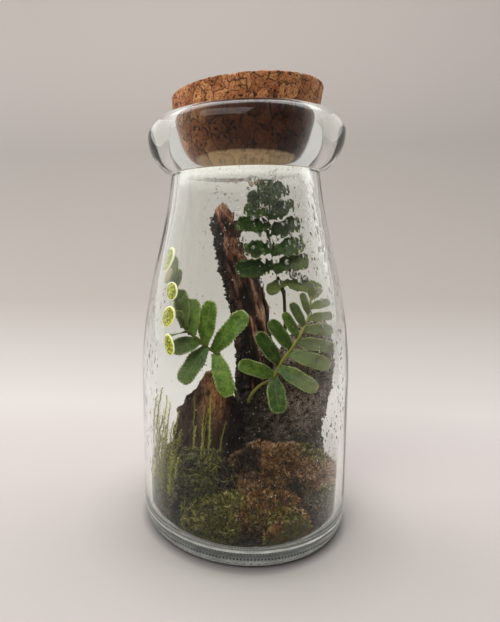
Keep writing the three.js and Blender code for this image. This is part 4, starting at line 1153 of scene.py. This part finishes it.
for moss in cushions:
    look = mossLook(moss.get("look", moss["name"]), moss["kind"], moss["zones"])
    finishPiece(mossObject(moss), look, moss["slot"], moss["node"])

# white specks painted as glints of light on fine drops: how many lie on each piece
glints = {"mossMound": 260, "mossFrontGreen": 110, "mossFrontRust": 110, "mossRight": 70, "mossLeft": 110,
          "driftwood": 110, "rootMass": 200, "barkChunk": 60}


def glintParts(seed):
    # each speck is a ball of two rings of six points and two poles
    high = math.sqrt(0.5)
    turns = [k * math.pi / 3 for k in range(6)]
    rings = [(high * math.cos(a), high * math.sin(a), z) for z in (-high, high) for a in turns]
    shape = np.array([(0, 0, -1)] + rings + [(0, 0, 1)])
    faces = [(0, 1 + (k + 1) % 6, 1 + k) for k in range(6)]
    faces += [(1 + k, 1 + (k + 1) % 6, 7 + (k + 1) % 6, 7 + k) for k in range(6)]
    faces += [(13, 7 + k, 7 + (k + 1) % 6) for k in range(6)]
    generator = np.random.default_rng(seed)
    parts = []
    for name, count in glints.items():
        place, normal, _own = surfacePlaces(bpy.data.objects[name], count, seed + count)
        for middle, up in zip(place, normal):
            radius = 0.1 + 0.14 * generator.random() ** 2
            parts.append((keepInside(middle + shape * radius + up * radius * 0.8, 0.15), faces))
    return parts


fineDrops = joinParts("fineDrops", glintParts(71))
faceOutward(fineDrops)
glintLook, add, _where = newMaterial("fineDrops")
# painted highlight: the specks are plain white
add("OutputMaterial", (add("BsdfPrincipled", {"Base Color": "#f6f4ee", "Roughness": 0.15}),))
finishPiece(fineDrops, glintLook, "glass")

# condensation: count, least and most turn in degrees from the front (right is positive), least and
# most height, least and most radius, and how far the drops have run
beadZones = [
    (420, -180, 180, 50, 121, 0.1, 0.22, 1.0),
    (260, -30, 50, 96, 122, 0.12, 0.3, 1.1),
    (34, 2, 44, 84, 119, 0.5, 1.1, 1.5),
    (300, 38, 76, 30, 98, 0.14, 0.42, 1.6),
    (330, -88, -52, 22, 84, 0.12, 0.34, 2.0),
    (70, -30, 60, 60, 92, 0.12, 0.24, 1.0),
]
# width and rise of a drop's rings
beadShape = [(1.0, 0.0), (0.86, 0.5), (0.5, 0.86)]


def beadPart(turn, height, radius, run, flat):
    out = np.array((math.sin(turn), -math.cos(turn), 0.0))
    side = np.array((math.cos(turn), math.sin(turn), 0.0))
    slope = (innerRadius(height + 1) - innerRadius(height - 1)) / 2
    up = np.array((out[0] * slope, out[1] * slope, 1.0))
    up /= np.linalg.norm(up)
    inward = -np.cross(side, up)
    if inward @ out > 0:
        inward = -inward
    middle = out * (float(innerRadius(height)) + 0.04) + (0, 0, height)
    points = []
    for width, rise in beadShape:
        for k in range(8):
            a = k * math.pi / 4
            across = side * (math.cos(a) * radius * width) + up * (math.sin(a) * radius * width * run)
            points.append(middle + across + inward * (rise * radius * flat))
    points.append(middle + inward * radius * flat)
    crown = [(16 + k, 16 + (k + 1) % 8, 24) for k in range(8)]
    return points, [tuple(range(8))] + ringFaces(3, 8) + crown


def beadParts(seed):
    generator = np.random.default_rng(seed)
    parts = []
    for count, fromTurn, toTurn, low, high, small, large, run in beadZones:
        for _ in range(count):
            turn = math.radians(generator.uniform(fromTurn, toTurn))
            height = generator.uniform(low, high)
            radius = small + (large - small) * generator.random() ** 2
            long = 1 + (run - 1) * generator.random() * 2
            parts.append(beadPart(turn, height, radius, long, generator.uniform(0.16, 0.3)))
    return parts


beads = joinParts("condensation", beadParts(5))
faceOutward(beads)
finishPiece(beads, clearGlass("water", "#fdfefd", 1.33), "glass")

# a mist of finest drops on the inner wall, thickest under the cork, where a white band is a painted
# highlight, and glowing with painted light;
# turns are radians from the front, and each veil is where it is, where it is full and gone beside it, and
# how dense it is
mist = {"low": 76, "high": 121.4, "steps": 40, "insets": (0.06, 0.12), "sides": 96,
        "right": (1.2, 0.05, 0.42, 0.34), "run": (1.45, 0.06, 0.14, 0.5), "left": (-0.7, 0, 0.5, 0.07)}


def mistRing():
    heights = np.linspace(mist["low"], mist["high"], mist["steps"])
    points = []
    for inset, walk in zip(mist["insets"], (heights, heights[::-1])):
        for height in walk:
            reach = float(innerRadius(min(height, jar["neckHeight"]))) - inset
            for side in range(mist["sides"]):
                turn = 2 * math.pi * side / mist["sides"]
                points.append((reach * math.cos(turn), reach * math.sin(turn), height))
    return points, ringFaces(2 * mist["steps"], mist["sides"], loop=True)


def mistLook():
    material, add, where = newMaterial("neckMist")
    x, y, z = add("SeparateXYZ", (where,)).node.outputs
    upper = add("MapRange", (z, 105 * mm, 119 * mm, 0, 0.06))
    # painted highlight: a white band just under the lip
    band = add("MapRange", (z, 116.6 * mm, 119.4 * mm, 0, 0.6))
    speck = add("MapRange", (add("TexNoise", (where, 0, 1 / (0.8 * mm), 3, 0.6)), 0.4, 0.65, 0.25, 1.6))
    # streaks run down the wall beside the fronds, most of all at the right, with one long bright run
    turn = add("Math", (x, add("Math", (y, -1), operation="MULTIPLY")), operation="ARCTAN2")
    veils = []
    for place, full, gone, dense in (mist["right"], mist["run"], mist["left"]):
        beside = add("Math", (add("Math", (turn, place), operation="SUBTRACT"),), operation="ABSOLUTE")
        veils.append(add("MapRange", (beside, full, gone, dense, 0)))
    right = add("Math", (veils[0], veils[1]), operation="MAXIMUM")
    tall = add("Mapping", {"Vector": where, "Scale": (1, 1, 0.12)})
    streaks = add("MapRange", (add("TexNoise", (tall, 0, 1 / (1.8 * mm), 3, 0.6)), 0.38, 0.62, 0.25, 1.2))
    begin = add("MapRange", (z, 80 * mm, 94 * mm, 0, 1))
    veil = add("Math", (weighted(add, (right, streaks), (veils[2], streaks)), begin), operation="MULTIPLY")
    far = add("MapRange", (y, -6 * mm, 6 * mm, 1, 0.25))
    cover = add("Math", (upper, speck, band), operation="MULTIPLY_ADD")
    cover = add("Math", (cover, far, veil), operation="MULTIPLY_ADD")
    # painted light: the mist glows, most where the veils beside the right frond are
    lit = add("MapRange", (right, 0, 0.2, 0.4, 0.8))
    body = add("BsdfPrincipled", {"Base Color": "#f6f4f2", "Roughness": 0.35,
                                  "Emission Color": "#fffaf6", "Emission Strength": lit})
    both = add("MixShader", (0.5, body, add("BsdfTranslucent", ("#f4f4f2",))))
    add("OutputMaterial", (add("MixShader", (cover, add("BsdfTransparent"), both)),))
    return material


finishPiece(makeObject("neckMist", *mistRing()), mistLook(), "glass")

# stage, light and camera

# painted light and shade on the table and backdrop, from in front of the jar to high behind it
paintedStageLight = [
    (0, "#484644"), (0.03, "#484644"), (0.082, "#aba6a4"), (0.105, "#aba6a4"), (0.17, "#b1abab"),
    (0.219, "#b8b4b3"), (0.301, "#aba7a5"), (0.383, "#9d9893"), (0.648, "#96918d"), (0.773, "#a8a29e"),
    (1, "#c2bcb7"),
]


def sweepStage():
    # pale table that curves up into the backdrop
    rings = [(y, 0) for y in (-330, -200, -100, 100)]
    start, radius = 130, 420
    for i in range(25):
        turn = i / 24 * math.pi / 2
        rings.append((start + radius * math.sin(turn), radius - radius * math.cos(turn)))
    rings.append((start + radius, 1600))
    points = [(x, y, z) for y, z in rings for x in (-560, 560)]
    faces = [(2 * i, 2 * i + 1, 2 * i + 3, 2 * i + 2) for i in range(len(rings) - 1)]
    obj = makeObject("table", points, faces)
    material, add, where = newMaterial("paleTable")
    x, y, z = add("SeparateXYZ", (where,)).node.outputs
    along = add("MapRange", (add("Math", (y, z), operation="ADD"), -0.2, 1.2, 0, 1))
    # painted light and shade along the table and up the backdrop
    tone = add("ValToRGB", (along,), stops=paintedStageLight)
    # the light that the jar keeps off the table right at its foot
    flat = add("Mapping", {"Vector": where, "Scale": (1, 1, 0)})
    away = add("VectorMath", (flat,), "Value", operation="LENGTH")
    near = add("MapRange", (away, 31 * mm, 38.5 * mm, 0.9, 0))
    wide = add("MapRange", (away, 33 * mm, 60 * mm, 0.16, 0))
    tone = painted(add, tone, (add("Math", (near, wide), operation="MAXIMUM"), "#1a1816"))
    body = add("BsdfPrincipled", {"Base Color": tone, "Roughness": 0.6, "Specular IOR Level": 0.25})
    add("OutputMaterial", (body,))
    obj.data.materials.append(material)


sweepStage()

# name, width and height, place, what it aims at, power and colour
lamps = [
    ("softBack", (1000, 320), (0, 170, 620), (0, 150, 0), 4.4, "#fffdfa"),
    ("softFront", (560, 380), (-200, -420, 560), (0, 0, 60), 4.3, "#fffcf8"),
    ("leftSide", (700, 520), (-600, 340, 250), (0, 0, 90), 2.0, "#ffffff"),
    ("rightSide", (700, 520), (600, 340, 250), (0, 0, 90), 1.2, "#ffffff"),
]
scene = bpy.context.scene
for name, size, place, aim, power, colour in lamps:
    data = bpy.data.lights.new(name, "AREA")
    data.shape = "RECTANGLE"
    data.size, data.size_y = size[0] * mm, size[1] * mm
    data.energy = power
    data.color = linear(colour)[:3]
    lamp = bpy.data.objects.new(name, data)
    scene.collection.objects.link(lamp)
    lamp.visible_transmission = False
    lamp.location = Vector(place) * mm
    lamp.rotation_euler = (Vector(aim) * mm - lamp.location).to_track_quat("-Z", "Y").to_euler()

# a pale room that is bright behind and beside the jar and dim in front of it
world = bpy.data.worlds.new("room")
world.use_nodes = True
world.node_tree.nodes.clear()
add = nodeAdder(world.node_tree)
depth = add("SeparateXYZ", (add("TexCoord", out="Generated"),), 1)
roomTone = add("ValToRGB", (add("MapRange", (depth, -1, 1, 0, 1)),),
               stops=[(0.0, "#5a5856"), (0.3, "#6c6a68"), (0.45, "#b4b1ad"), (0.6, "#d6d3cf")])
add("OutputWorld", (add("Background", (roomTone, 0.9)),))
scene.world = world

# where the photo was taken from: mm, radians and pixels
view = {"back": 170.8132, "height": 101.2947, "yaw": -0.113, "pitch": -0.1361, "roll": -0.008,
        "focal": 486.437, "centreX": 188.8948, "centreY": 300.2974, "wide": 500, "tall": 622, "sensor": 36}
ahead = Vector((math.sin(view["yaw"]) * math.cos(view["pitch"]),
                math.cos(view["yaw"]) * math.cos(view["pitch"]), math.sin(view["pitch"])))
level = Vector((math.cos(view["yaw"]), -math.sin(view["yaw"]), 0))
upward = level.cross(ahead)
across = math.cos(view["roll"]) * level + math.sin(view["roll"]) * upward
upward = math.cos(view["roll"]) * upward - math.sin(view["roll"]) * level
lens = bpy.data.cameras.new("camera")
lens.sensor_width = view["sensor"]
lens.lens = view["focal"] / view["tall"] * view["sensor"]
lens.shift_x = (view["wide"] / 2 - view["centreX"]) / view["tall"]
lens.shift_y = (view["centreY"] - view["tall"] / 2) / view["tall"]
lens.clip_start = 0.005
camera = bpy.data.objects.new("camera", lens)
scene.collection.objects.link(camera)
camera.matrix_world = Matrix((
    (across.x, upward.x, -ahead.x, 0),
    (across.y, upward.y, -ahead.y, -view["back"] * mm),
    (across.z, upward.z, -ahead.z, view["height"] * mm),
    (0, 0, 0, 1)))
scene.camera = camera
scene.view_settings.view_transform = "Standard"
scene.cycles.max_bounces = 24
scene.cycles.transmission_bounces = 24
scene.cycles.transparent_max_bounces = 24
